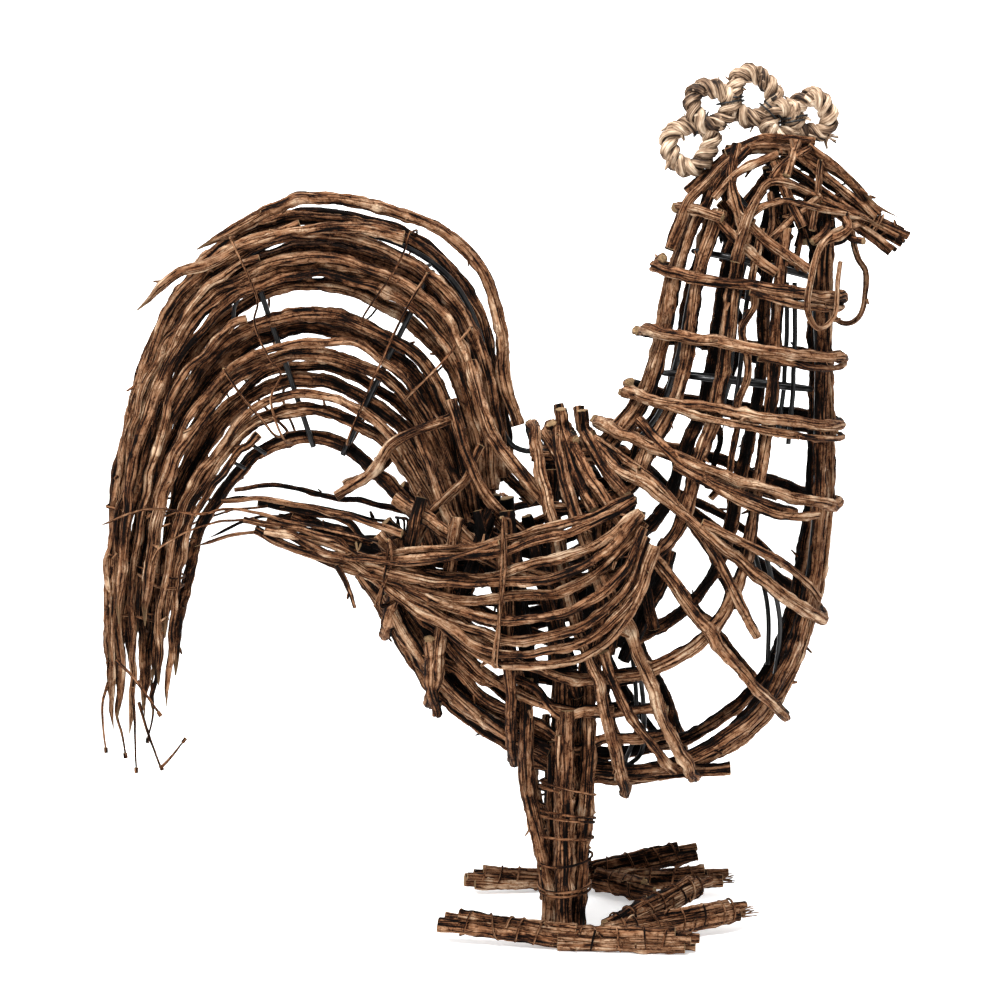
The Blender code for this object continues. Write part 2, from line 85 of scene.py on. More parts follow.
# Tail plumes in the side view: the outermost and the innermost sweep, root to tip
OUTER_SWEEP = ((2, 284), (-2, 320), (-16, 378), (-50, 418), (-98, 437), (-148, 433),
               (-190, 405), (-221, 352), (-238, 282), (-245, 215), (-246, 142))
INNER_SWEEP = ((-42, 226), (-52, 250), (-72, 277), (-96, 296), (-124, 304), (-150, 296),
               (-172, 274), (-188, 248), (-198, 218), (-203, 188), (-206, 152))
CREST_SWEEP = ((3, 334), (-1, 367), (-14, 407), (-42, 433), (-76, 447), (-110, 451), (-145, 442),
               (-187, 420))
PLUME_BLENDS = (0.0, 0.07, 0.14, 0.21, 0.30, 0.425, 0.50, 0.61, 0.74, 0.86, 1.0)
PLUME_REACH = (1.0, 0.97, 1.0, 0.93, 0.98, 0.95, 1.0, 0.92, 0.98, 0.93, 1.0)
PLUME_LANES = (1, -1, 2, -2)                # side by side across the tips, from the wire out
LANE_SPREAD = (0.60, 0.78)                  # shares of the way to the tip where the lanes part
LANE_ROOM = 0.0025                          # between one lane and the next

# Wires of the tail in the side view
TAIL_ARC = ((12, 296), (2, 304), (-7, 330), (-14, 368), (-32, 402), (-66, 424), (-104, 430), (-140, 424),
            (-165, 408))
TAIL_STRUTS = {
    "wire_strut_front": ((-46, 404), (-56, 382), (-72, 350), (-99, 293)),
    "wire_strut_rear": ((-152, 406), (-146, 385), (-134, 350), (-117, 298)),
}

# Wing vines in the side view: the top one and the bottom one, shoulder to tip
WING_TOP = ((80, 268), (54, 259), (12, 249), (-36, 241), (-78, 238))
WING_BOTTOM = ((90, 240), (72, 200), (34, 177), (-12, 184), (-62, 222))

# Feet: toe tips in figure units, measured from where the leg meets the floor
TOE_LAY = ((-0.76, 0), (0.76, 0), (0, 1.3))     # each stick's place across and up, in half thicknesses
HEEL_LAP = (-0.004, 0.006)                       # where the outer and the back toe start, from the leg
TOE_STAGGER = 0.006                              # from one stick's tip to the next one's
TOES_RIGHT = {
    "back": (-76, -9, 12), "outer": (77, -33, 5), "middle": (112, 20, 11), "inner": (88, 50, 20),
}
TOES_LEFT = {
    "back": (-62, 14, 9), "outer": (90, 35, 22), "middle": (106, 12, 10), "inner": (62, -16, 6),
}

# Legs: where they stand, and their sticks as bearing, spread at the knee and share of the way up from it
LEG_X = 38
KNEE = 100
LEG_STICKS = ((5, 1.5, 0.94), (93, 1.0, 0.7), (184, None, 1.0), (271, 1.0, 0.7))
STICK_SINK = 0.18           # share of a stick's thickness that lies in the stick next to it
LEG_NEST = 0.12             # share of a stick's thickness that a slanting stake lets it come nearer

# Head: the ridge from the nape to the beak, and the twigs beside it, whose lower ends are lapped
# on stakes. Places are x, z or x, share of the head's half width, z
RIDGE = ((113, 455), (121, 462), (134, 473), (150, 480), (171, 480), (190, 478), (206, 466))
CROWN = ((133, 0.50, 468), (150, 0.54, 481), (178, 0.50, 480), (198, 0.40, 468))
BROW = ((160, 0.90, 459), (178, 0.82, 457), (198, 0.58, 448))
CROWN_ANGLE = 156
BROW_ANGLE = 104
LAP_STATIONS = (0.7, 0.3, 0.0)

# Beak: the sticks' places round its middle as shares of a stick's thickness: across, up and how
# much lower the tip is
BEAK_START = (222, 438)
BEAK_TIP = (249, 425)
BEAK_STICKS = ((-0.62, 0, 0), (0.62, 0, 0), (0, 0.82, 0.36), (0, -0.82, -1.27), (0, 0, -0.55))

# Wattles, which hang from the brow: places as x, share of the way out to the outside of the
# neck's rings, z
WATTLE_RIGHT = ((201, 0.42, 430), (191, 0.60, 420), (185, 0.82, 404), (182, 0.93, 386), (186, 0.87, 375),
                (194, 0.66, 373), (201, 0.55, 381), (202, 0.59, 396), (205, 0.50, 412))
WATTLE_LEFT = ((220, 0.30, 416), (225, 0.21, 405), (224, 0.21, 385), (220, 0.28, 376), (213, 0.42, 374),
               (206, 0.53, 380), (203, 0.57, 392))
WATTLE_HOLD = 0.86          # share of the way along the brow at which a wattle hangs

# Comb: rings of rope from the nape forward, as radius, place across, bearing from the ring
# before, and room between the two ropes' middles as a share of the rope's thickness
COMB_START = (115, 483)
FLAT = 0.95                 # the least distance from a ring's middle to its side, as a share of the most
COMB_RINGS = ((12, 0.6, None, None), (10.5, -1.1, 63.4, 0.45), (12, 0.9, 11.9, 0.43), (8, -0.7, -40.7, 0.40),
              (10.5, 1.2, 13.2, -0.11))


def on_figure(x, y, z):
    """A place given in figure units."""
    return Vector((x, y, z)) * UNIT


def in_side_view(places, across=0):
    """Places given as x and z in figure units, all this far across."""
    return [on_figure(x, across, z) for x, z in places]


def beside_figure(places, side):
    """Places given as x, z and distance across to this side, in figure units."""
    return [on_figure(x, side * y, z) for x, z, y in places]


def straight(start, out, reaches):
    """Places on a straight line at these distances from its start."""
    return [start + out * reach for reach in reaches]


def curve_value(values, t):
    """Smooth curve through evenly numbered values, at place t."""
    last = len(values) - 1
    t = min(max(t, 0.0), float(last))
    i = min(int(t), last - 1)
    f = t - i
    p1, p2 = values[i], values[i + 1]
    p0 = values[i - 1] if i > 0 else p1 * 2 - p2
    p3 = values[i + 2] if i + 2 <= last else p2 * 2 - p1
    return (p1 * 2 + (p2 - p0) * f + (p0 * 2 - p1 * 5 + p2 * 4 - p3) * f * f
            + (p1 * 3 - p0 - p2 * 3 + p3) * f * f * f) * 0.5


def even_points(points, count):
    """Points spaced evenly along the smooth curve through the given points."""
    fine = [curve_value(points, (len(points) - 1) * i / 240) for i in range(241)]
    lengths = [0.0]
    for a, b in zip(fine, fine[1:]):
        lengths.append(lengths[-1] + (b - a).length)
    result = []
    j = 0
    for i in range(count):
        goal = lengths[-1] * i / (count - 1)
        while j < len(fine) - 2 and lengths[j + 1] < goal:
            j += 1
        share = (goal - lengths[j]) / max(lengths[j + 1] - lengths[j], 1e-9)
        result.append(fine[j].lerp(fine[j + 1], min(share, 1.0)))
    return result


# The body's surface, on which the stakes lie
BACKS = [on_figure(back[0], 0, back[1]) for back, keel, width in STATIONS]
KEELS = [on_figure(keel[0], 0, keel[1]) for back, keel, width in STATIONS]
WIDTHS = [width * BODY_WIDTH / 2 for back, keel, width in STATIONS]


def section_point(t, angle):
    """Point on the body's surface at station t, angle in degrees round from the keel."""
    back, keel = curve_value(BACKS, t), curve_value(KEELS, t)
    turn = math.radians(angle)
    middle = (back + keel) / 2
    across = Vector((0, curve_value(WIDTHS, t) * math.sin(turn), 0))
    return middle - (back - middle) * math.cos(turn) + across


def body_point(t, angle, lift=0.0):
    """Point at a height lift above the body's surface, measured square to it."""
    here = section_point(t, angle)
    along = section_point(t + 0.1, angle) - section_point(t - 0.1, angle)
    around = section_point(t, angle + 2) - section_point(t, angle - 2)
    outward = along.cross(around).normalized()
    middle = (curve_value(BACKS, t) + curve_value(KEELS, t)) / 2
    if outward.dot(here - middle) < 0:
        outward = -outward
    return here + outward * lift


def along_body(angle, stations, lift=0.0):
    return [body_point(t, angle, lift) for t in stations]


def round_body(t, angles, lift=0.0):
    return [body_point(t, angle, lift) for angle in angles]


def body_address(x, z):
    """Station and angle of the place seen at x, z in the side view, in metres."""
    place = Vector((x, 0, z))
    low, high = 0.0, 12.0
    for _ in range(40):
        t = (low + high) / 2
        back, keel = curve_value(BACKS, t), curve_value(KEELS, t)
        if (keel - back).cross(place - back).y < 0:
            high = t
        else:
            low = t
    share = (place - back).dot(keel - back) / (keel - back).length_squared
    share = min(max(share, 0.02), 0.98)
    return t, math.degrees(math.acos(2 * share - 1))


def above_body(x, z, side, lift):
    """Point above one side of the body, at the place seen at x, z in the side view."""
    t, angle = body_address(x, z)
    return body_point(t, side * angle, lift)


HOOP_LIFT = (STAKE_THICK + HOOP_THICK) / 2 + TOUCH + WEAVE_SLACK
WIRE_LIFT = -((STAKE_THICK + WIRE_THICK) / 2 + TOUCH + WEAVE_SLACK)
RING_WIRE_LIFT = WIRE_LIFT - WIRE_THICK - TOUCH
WING_LIFT = HOOP_LIFT + (HOOP_THICK + WING_THICK) / 2 + TOUCH + 2 * WEAVE_SLACK
LAP_LIFT = (STAKE_THICK + HEAD_THICK) / 2 + TOUCH + WEAVE_SLACK
WATTLE_REACH = WIDTHS[1] + HOOP_LIFT + (HOOP_THICK + WATTLE_THICK) / 2 + TOUCH


def stake_at(angle, x):
    """Where the stake at this angle passes x on its way under the body."""
    low, high = 6.5, 11.0
    for _ in range(40):
        t = (low + high) / 2
        if body_point(t, angle).x > x:
            low = t
        else:
            high = t
    return body_point(t, angle)


# A leg stands beside the innermost stake and ends under the next one
LEG_RING = LEG_CORE_THICK / 2 + LEG_STICK_THICK * (0.5 - STICK_SINK)
LEG_REACH = LEG_RING + LEG_STICK_THICK / 2
LEG_FRONT = LEG_X * UNIT + LEG_REACH
LEG_ROOM = STAKE_THICK / 2 + LEG_REACH + TOUCH - LEG_STICK_THICK * LEG_NEST
LEG_Y = stake_at(STAKE_ANGLES[0], LEG_FRONT).y + LEG_ROOM
LEG_TOP = stake_at(STAKE_ANGLES[1], LEG_X * UNIT).z - STAKE_THICK / 2 - 3 * TOUCH


def side_name(base, side, number=None):
    name = f"{base}_{'right' if side < 0 else 'left'}"
    return name if number is None else f"{name}_{number}"


def plume_lane(lane):
    """Distance of a plume's middle from the tail wires, by its lane."""
    first = (WIRE_THICK + PLUME_THICK) / 2 + TOUCH
    return math.copysign(first + (abs(lane) - 1) * (PLUME_THICK + LANE_ROOM), lane)


def lane_at(lane, share):
    """Distance of a plume's middle from the tail wires at its share of the way to the tip."""
    near, far = plume_lane(math.copysign(1, lane)), plume_lane(lane)
    parting = min(max((share - LANE_SPREAD[0]) / (LANE_SPREAD[1] - LANE_SPREAD[0]), 0), 1)
    return near + (far - near) * parting


def leg_foot(side):
    """Middle of a leg on the floor."""
    return Vector((LEG_X * UNIT, side * LEG_Y, 0))


def cradle_front():
    """How far forward the first cradle is beside a leg."""
    t = CRADLE_STATIONS[0]
    angle = math.degrees(math.asin(LEG_Y / curve_value(WIDTHS, t)))
    return body_point(t, angle, HOOP_LIFT).x


def toe_knots(side, tips):
    """Where each toe starts: two beside the leg, and two laced into the outer one in front of it."""
    beside = side * (LEG_REACH + TOE_THICK * 0.88 + 3 * TOUCH)
    before = LEG_REACH + TOE_THICK
    lowest = TOE_THICK * 0.51
    outer = Vector((HEEL_LAP[0], beside, lowest))
    passing = outer.lerp(tips["outer"], (before - outer.x) / (tips["outer"].x - outer.x))
    return {
        "outer": outer,
        "back": Vector((HEEL_LAP[1], beside * 1.03, lowest * 1.06)),
        "middle": Vector((before, passing.y - side * TOE_THICK * 0.9, lowest * 1.03)),
        "inner": Vector((before + TOE_THICK * 0.1, passing.y - side * TOE_THICK * 1.4, lowest * 1.5)),
    }


def on_head(side, reach, places):
    """Places given as x, share of a reach to this side, and z."""
    return [on_figure(x, 0, z) + Vector((0, side * share * reach, 0)) for x, share, z in places]


def beside_beak(share, up, across):
    """A place along the beak's bundle of sticks, moved up and across from its middle."""
    start, tip = on_figure(BEAK_START[0], 0, BEAK_START[1]), on_figure(BEAK_TIP[0], 0, BEAK_TIP[1])
    along = (tip - start).normalized()
    return start.lerp(tip, share) + Vector((-along.z, 0, along.x)) * up + Vector((0, across, 0))


def ridge_points():
    """The twig along the top of the head, whose front end lies on the beak."""
    above = (BEAK_STICKS[2][1] + 0.5) * BEAK_THICK + HEAD_THICK / 2 + TOUCH
    return in_side_view(RIDGE) + [beside_beak(share, above, 0) for share in (0.1, 0.6)]


def head_twig(side, angle, places, ends):
    """A twig lapped on the stake at this angle, then over its places to its end."""
    lap = [body_point(t, side * angle, LAP_LIFT) for t in LAP_STATIONS]
    return lap[:-1] + even_points(lap[-1:] + on_head(side, WIDTHS[0], places) + ends, 9)


def brow_points(side):
    """The twig over the eye, whose front end lies beside the beak."""
    aside = (BEAK_STICKS[1][0] + 0.5) * BEAK_THICK + HEAD_THICK / 2 + TOUCH
    return head_twig(side, BROW_ANGLE, BROW, [beside_beak(share, 0, side * aside) for share in (0.0, 0.4)])


def comb_middles():
    """Middle of each ring of the comb, which rests on the ridge."""
    middle = on_figure(COMB_START[0], 0, COMB_START[1])
    middles = []
    before = 0
    for size, _, bearing, room in COMB_RINGS:
        if bearing is not None:
            turn = math.radians(bearing)
            step = (before + size) * UNIT + room * ROPE_THICK
            middle = middle + Vector((math.cos(turn), 0, math.sin(turn))) * step
        before = size
        middles.append(middle)
    ridge = even_points(ridge_points(), 60)
    free = min(
        middle.z - spot.z - math.sqrt(max(reach ** 2 - (middle.x - spot.x) ** 2, 0))
        for middle, (size, *_) in zip(middles, COMB_RINGS)
        for reach in (size * UNIT * FLAT + (ROPE_THICK + HEAD_THICK) / 2 * FLAT + TOUCH,)
        for spot in ridge
        if abs(middle.x - spot.x) < reach
    )
    return [middle - Vector((0, 0, free)) for middle in middles]


# The twigs' own shape
RING_STEP = 0.0024          # between rings of a twig's mesh
WIRE_STEP = 0.004           # the same for wire
FINE_STEP = 0.002           # and for thin vines that bend tightly
# Relief of the bark. Heights and depths are shares of a twig's radius
GIRTH_DRIFTS = ((0.09, 0.03), (0.07, 0.008))    # slow changes of thickness, and how far apart
OVALNESS = 0.06
LOBES = (3, 5, 7)           # ridges round a twig, several patterns over each other
LOBE_HEIGHT = 0.03
FURROW_DEPTH = 0.34
FURROW_WIDTH = 0.22         # radians
FLAKE_LENGTH = 0.0055
FLAKES_ROUND = 9
FLAKE_DEPTH = 0.19
CRUMBLE = 0.06              # small unevenness everywhere
KNOT_SPACING = 0.045
KNOT_LENGTH = 0.0032
KNOT_HEIGHTS = (0.08, 0.26)     # all round, and further on one side
BENDS = ((1, 0.035), (0.45, 0.012))     # how crooked twigs are: share, and how far apart
SNAG_THICK = (0.0012, 0.0024)
SNAG_LENGTH = (0.0025, 0.006)
TIE_THICK = 0.0016
FLOOR_GAP = 0.0002          # lowest height of any bark above the floor
HIDDEN_SHADE = 1.25         # painted shade: how much darker the bark is painted on the inside of the weave
TAIL_SHADE = 0.50           # and on the inside of the tail, which is open
STUB_SHADE = 0.55           # and on short twigs that stand up from the saddle
SIDES = ((0.006, 20), (0.004, 14), (0.002, 9), (0.0, 6))    # sides of a bar, by least thickness


def smooth_path(points, step=RING_STEP):
    """Points evenly spaced, about a step apart, along the smooth curve through the given points."""
    dense = 10 * (len(points) - 1)
    fine = np.array([curve_value(points, i / 10) for i in range(dense + 1)])
    lengths = np.concatenate(([0.0], np.cumsum(np.linalg.norm(np.diff(fine, axis=0), axis=1))))
    rings = max(4, int(round(lengths[-1] / step)) + 1)
    goals = np.linspace(0.0, lengths[-1], rings)
    return np.stack([np.interp(goals, lengths, fine[:, k]) for k in range(3)], axis=1)


def drift(rng, length, spacing, count):
    """A slow random wander between -1 and 1 along a length, at count places."""
    knots = max(2, int(length / spacing) + 2)
    values = rng.uniform(-1.0, 1.0, knots)
    place = np.linspace(0.0, knots - 1.001, count)
    left = place.astype(int)
    share = place - left
    share = share * share * (3 - 2 * share)
    return values[left] * (1 - share) + values[left + 1] * share


def path_frames(path):
    """Two directions square to the path at each point, which don't twist along it."""
    along = np.gradient(path, axis=0)
    along /= np.linalg.norm(along, axis=1)[:, None]
    start = np.array((0.0, 1.0, 0.0)) if abs(along[0][1]) < 0.9 else np.array((1.0, 0.0, 0.0))
    side = np.zeros_like(path)
    side[0] = start - along[0] * start.dot(along[0])
    side[0] /= np.linalg.norm(side[0])
    for i in range(1, len(path)):
        side[i] = side[i - 1] - along[i] * side[i - 1].dot(along[i])
        side[i] /= np.linalg.norm(side[i])
    return along, side, np.cross(along, side)


def turn_from(turn, middle):
    """How far round each angle is from a middle, the short way."""
    return np.abs((turn - middle + math.pi) % (2 * math.pi) - math.pi)


# The body's middle line, and half the width of the tail's inside, which is given painted shade
MIDDLES = np.array([(curve_value(BACKS, t) + curve_value(KEELS, t)) / 2 for t in np.linspace(0, 12, 61)])
MIDPLANE_REACH = 0.010


def toward_body(path):
    """Direction from each point of a path to the body's middle line."""
    away = MIDDLES[None, :, :] - path[:, None, :]
    nearest = np.argmin(np.linalg.norm(away, axis=2), axis=1)
    inward = away[np.arange(len(path)), nearest]
    return inward / np.maximum(np.linalg.norm(inward, axis=1), 1e-6)[:, None]


def toward_midplane(path):
    """Direction across from each point of a path to the plane between the figure's two sides."""
    inward = np.zeros_like(path)
    inward[:, 1] = -np.clip(path[:, 1] / MIDPLANE_REACH, -1, 1)
    return inward


class Form:
    """A mesh in the making, to which bars of bark, wire or straw are added.

    Where inward is given, bark that faces that way gets painted shade, as on the hidden side of the weave.
    """

    def __init__(self, seed, inward=None, shade=HIDDEN_SHADE):
        self.inward = inward
        self.shade = shade
        self.bm = bmesh.new()
        self.grain = self.bm.verts.layers.float_vector.new("grain")
        self.look = self.bm.verts.layers.float_vector.new("look")
        self.rng = np.random.default_rng(seed)

    def wrap(self, places, grain, look):
        """A grid bent round into a closed bar: its long edges meet and its ends are points."""
        rings, sides = places.shape[:2]
        made = bmesh.ops.create_grid(self.bm, x_segments=sides, y_segments=rings - 1, size=1.0)["verts"]
        places, grain, look = places.tolist(), grain.tolist(), look.tolist()
        for n, vert in enumerate(made):
            i, j = divmod(n, sides + 1)
            j %= sides
            vert.co = places[i][j]
            vert[self.grain] = grain[i][j]
            vert[self.look] = look[i][j]
        bmesh.ops.remove_doubles(self.bm, verts=made, dist=1e-7)

    def bark_shape(self, length, s, turn, bark, furrows):
        """How far out the surface is at each place along and round a twig, as a share of its radius."""
        rng = self.rng
        rings = len(s)
        girth = 1 + bark * sum(size * drift(rng, length, apart, rings) for size, apart in GIRTH_DRIFTS)
        shape = np.ones((rings, len(turn))) * girth[:, None]
        oval = drift(rng, length, 0.09, rings) * 2.5 + rng.uniform(0, 6)
        shape += bark * OVALNESS * np.cos(2 * (turn[None, :] - oval[:, None]))
        for lobes in LOBES:
            phase = drift(rng, length, 0.05, rings) * 1.6 + rng.uniform(0, 6)
            size = LOBE_HEIGHT * (1 + drift(rng, length, 0.015, rings))
            shape += bark * size[:, None] * np.cos(lobes * (turn[None, :] - phase[:, None]))
        for _ in range(furrows):
            middle = rng.uniform(0, 2 * math.pi) + drift(rng, length, 0.05, rings) * 0.9
            depth = FURROW_DEPTH * bark * np.clip(0.6 + 0.8 * drift(rng, length, 0.018, rings), 0.0, 1.2)
            away = turn_from(turn[None, :], middle[:, None])
            shape -= depth[:, None] * np.exp(-(away / FURROW_WIDTH) ** 2)
        cells = rng.uniform(0.0, 1.0, (max(2, int(length / FLAKE_LENGTH) + 2), FLAKES_ROUND))
        row = s / length * (len(cells) - 1) + drift(rng, length, 0.01, rings) * 0.4
        row = np.clip(row, 0, len(cells) - 1).astype(int)
        column = (turn / (2 * math.pi) * FLAKES_ROUND).astype(int) % FLAKES_ROUND
        shape += bark * FLAKE_DEPTH * (cells[row][:, column] - 0.5)
        shape += bark * CRUMBLE * rng.uniform(-1.0, 1.0, shape.shape)
        for _ in range(int(length / KNOT_SPACING * bark)):
            where, bearing = rng.uniform(0.0, length), rng.uniform(0, 2 * math.pi)
            swelling = KNOT_HEIGHTS[0] + KNOT_HEIGHTS[1] * np.exp(-(turn_from(turn, bearing) / 0.6) ** 2)
            shape += bark * np.exp(-((s - where) / KNOT_LENGTH) ** 2)[:, None] * swelling[None, :]
        return shape

    def bar(self, path, thick, bark=1.0, furrows=2, taper=(1.0, 1.0), ends=("cut", "cut"),
            crooked=0.0004, tone=None, snags=0):
        """A twig: path in metres, bark is how rough it is, taper the thickness at each end."""
        rng = self.rng
        path = np.asarray(path, dtype=float)
        rings = len(path)
        sides = next(count for least, count in SIDES if thick >= least)
        length = float(np.linalg.norm(np.diff(path, axis=0), axis=1).sum())
        tone = rng.uniform(0.0, 1.0) if tone is None else tone
        radius = thick / 2
        s = np.linspace(0.0, length, rings)
        turn = np.linspace(0.0, 2 * math.pi, sides, endpoint=False)
        along, side, other = path_frames(path)
        if crooked:
            for direction in (side, other):
                wander = sum(share * drift(rng, length, apart, rings) for share, apart in BENDS)
                path = path + direction * (wander * crooked)[:, None]
        shape = self.bark_shape(length, s, turn, bark, furrows)
        narrow = np.interp(s, (0.0, length), taper)
        for from_end, kind in zip((s, length - s), ends):
            if kind == "point":
                narrow = narrow * np.clip(0.15 + from_end / (thick * 3.5), 0, 1)
        reach = radius * shape * narrow[:, None]
        places = (path[:, None, :] + side[:, None, :] * (np.cos(turn)[None, :] * reach)[:, :, None]
                  + other[:, None, :] * (np.sin(turn)[None, :] * reach)[:, :, None])
        # painted shading: the bark's hollows are painted darker and its ridges lighter
        painted_shading = np.clip((shape - 1.0) * 3.0, -1.0, 1.0)
        # painted shade on the side that faces inward, toward the hidden side of the weave
        if self.inward:
            outward = (side[:, None, :] * np.cos(turn)[None, :, None]
                       + other[:, None, :] * np.sin(turn)[None, :, None])
            facing = np.einsum("ik,ijk->ij", self.inward(path), outward)
            painted_shading = painted_shading - self.shade * np.clip(facing * 0.8 + 0.2, 0.0, 1.0)
        shift = rng.uniform(0.0, 40.0)
        grain = np.stack([np.cos(turn)[None, :] * radius * np.ones((rings, 1)),
                          np.sin(turn)[None, :] * radius * np.ones((rings, 1)),
                          np.broadcast_to((s + shift)[:, None], (rings, sides))], axis=2)
        bare = np.zeros_like(painted_shading)
        for from_end, kind in zip((s, length - s), ends):
            if kind == "point":
                bare += np.clip(1 - from_end / (thick * 1.6), 0, 1)[:, None] * 0.7
        # look holds the painted shading, the bare wood near pointed ends and the twig's tone
        look = np.stack([painted_shading, bare, np.full_like(painted_shading, tone)], axis=2)
        self.wrap(*self.close(places, grain, look, path, along, radius * narrow))
        for _ in range(snags):
            i, bearing = int(rng.integers(3, rings - 3)), rng.uniform(0, 2 * math.pi)
            out = side[i] * math.cos(bearing) + other[i] * math.sin(bearing)
            lean = along[i] * rng.uniform(0.3, 1.6) * rng.choice((-1, 1)) + out
            lean /= np.linalg.norm(lean)
            start = path[i] + out * radius * 0.8
            self.rod([start + lean * share * rng.uniform(*SNAG_LENGTH) for share in (0, 0.5, 1)],
                     rng.uniform(*SNAG_THICK), bark=0.8, taper=(1.2, 0.6), tone=tone)

    def chosen(self, value):
        """The value, or one between the two given."""
        return self.rng.uniform(*value) if isinstance(value, tuple) else value

    def twig(self, points, thick, tone=None, crooked=0.0010, **facts):
        """A bar along the smooth curve through points. Thickness and tone may be ranges."""
        thick = self.chosen(thick)
        self.bar(smooth_path(points), thick, tone=self.chosen(tone), crooked=crooked, **facts)

    def rod(self, path, thick, bark=0.0, crooked=0.0, **facts):
        """A bar without furrows: a wire or a fibre."""
        self.bar(path, thick, bark=bark, furrows=0, crooked=crooked, **facts)

    @staticmethod
    def close(places, grain, look, path, along, radius):
        """Adds the faces of both ends, drawn in to their middles."""
        for end, sign in ((0, -1), (-1, 1)):
            middle = path[end]
            rim = places[end]
            shares = (0.93, 0.5, 0.0)
            caps = [middle + (rim - middle) * share + along[end] * sign * radius[end] * dome
                    for share, dome in zip(shares, (0.10, 0.14, 0.13))]
            looks = [look[end] * (0, 0, 1) + np.array((0, cut, 0)) for cut in (0.8, 1.0, 1.0)]
            grains = [grain[end] * (share, share, 1) for share in shares]
            if end == 0:
                places = np.concatenate((caps[::-1], places))
                look = np.concatenate((looks[::-1], look))
                grain = np.concatenate((grains[::-1], grain))
            else:
                places = np.concatenate((places, caps))
                look = np.concatenate((look, looks))
                grain = np.concatenate((grain, grains))
        return places, grain, look

    def tie(self, path, thick=TIE_THICK, **facts):
        """A thin vine wound round something."""
        facts = {"bark": 0.7, "furrows": 0, "crooked": 0.0003, "tone": self.rng.uniform(0.0, 0.7), **facts}
        self.bar(path, thick, **facts)

    def stand(self):
        """Wears the underside flat where it would pass through the floor."""
        for vert in self.bm.verts:
            vert.co.z = max(vert.co.z, FLOOR_GAP)

    def finish(self, name, surface, *replaced):
        """Makes the piece, with its surface's material, in place of the solids it replaces."""
        material, slot = surface
        mesh = bpy.data.meshes.new(name)
        bmesh.ops.recalc_face_normals(self.bm, faces=self.bm.faces)
        self.bm.to_mesh(mesh)
        self.bm.free()
        mesh.shade_smooth()
        piece = bpy.data.objects.new(name, mesh)
        bpy.context.scene.collection.objects.link(piece)
        mesh.materials.append(material)
        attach(piece, "root")
        if replaced:
            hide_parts(*replaced)
        return piece


def add_twig(surface, name, seed, points, thick, solid=True, inward=toward_body, shade=HIDDEN_SHADE,
             **facts):
    """A piece that is one twig, in place of the solid of its name or of no solid."""
    form = Form(seed, inward, shade)
    form.twig(points, thick, **facts)
    if solid:
        form.finish(name + "_twig", surface, name)
    else:
        form.finish(name, surface)


def winding(middle, along, reach_up, reach_aside, turns, pitch, start):
    """A coil round a bundle: along is the bundle's direction, the reaches its half sizes."""
    middle, along = np.array(middle, dtype=float), np.array(along, dtype=float)
    along /= np.linalg.norm(along)
    aside = np.array((0.0, 1.0, 0.0))
    aside -= along * aside.dot(along)
    aside /= np.linalg.norm(aside)
    up = np.cross(along, aside)
    count = max(8, int(turns * 18))
    a = np.linspace(0, 2 * math.pi * turns, count) + start
    travel = (np.linspace(0, 1, count) - 0.5) * pitch * turns
    return (middle + up * (np.cos(a) * reach_up)[:, None] + aside * (np.sin(a) * reach_aside)[:, None]
            + along * travel[:, None])


class Value:
    """A socket whose arithmetic adds Math nodes to its material."""

    def __init__(self, finish, socket):
        self.finish = finish
        self.socket = socket

    def math(self, operation, *others):
        return self.finish.node("ShaderNodeMath", {"operation": operation}, dict(enumerate((self, *others))))

    def __add__(self, other):
        return self.math("ADD", other)

    def __sub__(self, other):
        return self.math("SUBTRACT", other)

    def __mul__(self, other):
        return self.math("MULTIPLY", other)

    def __rsub__(self, other):
        return self.finish.node("ShaderNodeMath", {"operation": "SUBTRACT"}, {0: other, 1: self})

    __radd__ = __add__
    __rmul__ = __mul__

    def size(self):
        return self.math("ABSOLUTE")

    def clamp(self):
        return self.math("MAXIMUM", 0.0).math("MINIMUM", 1.0)


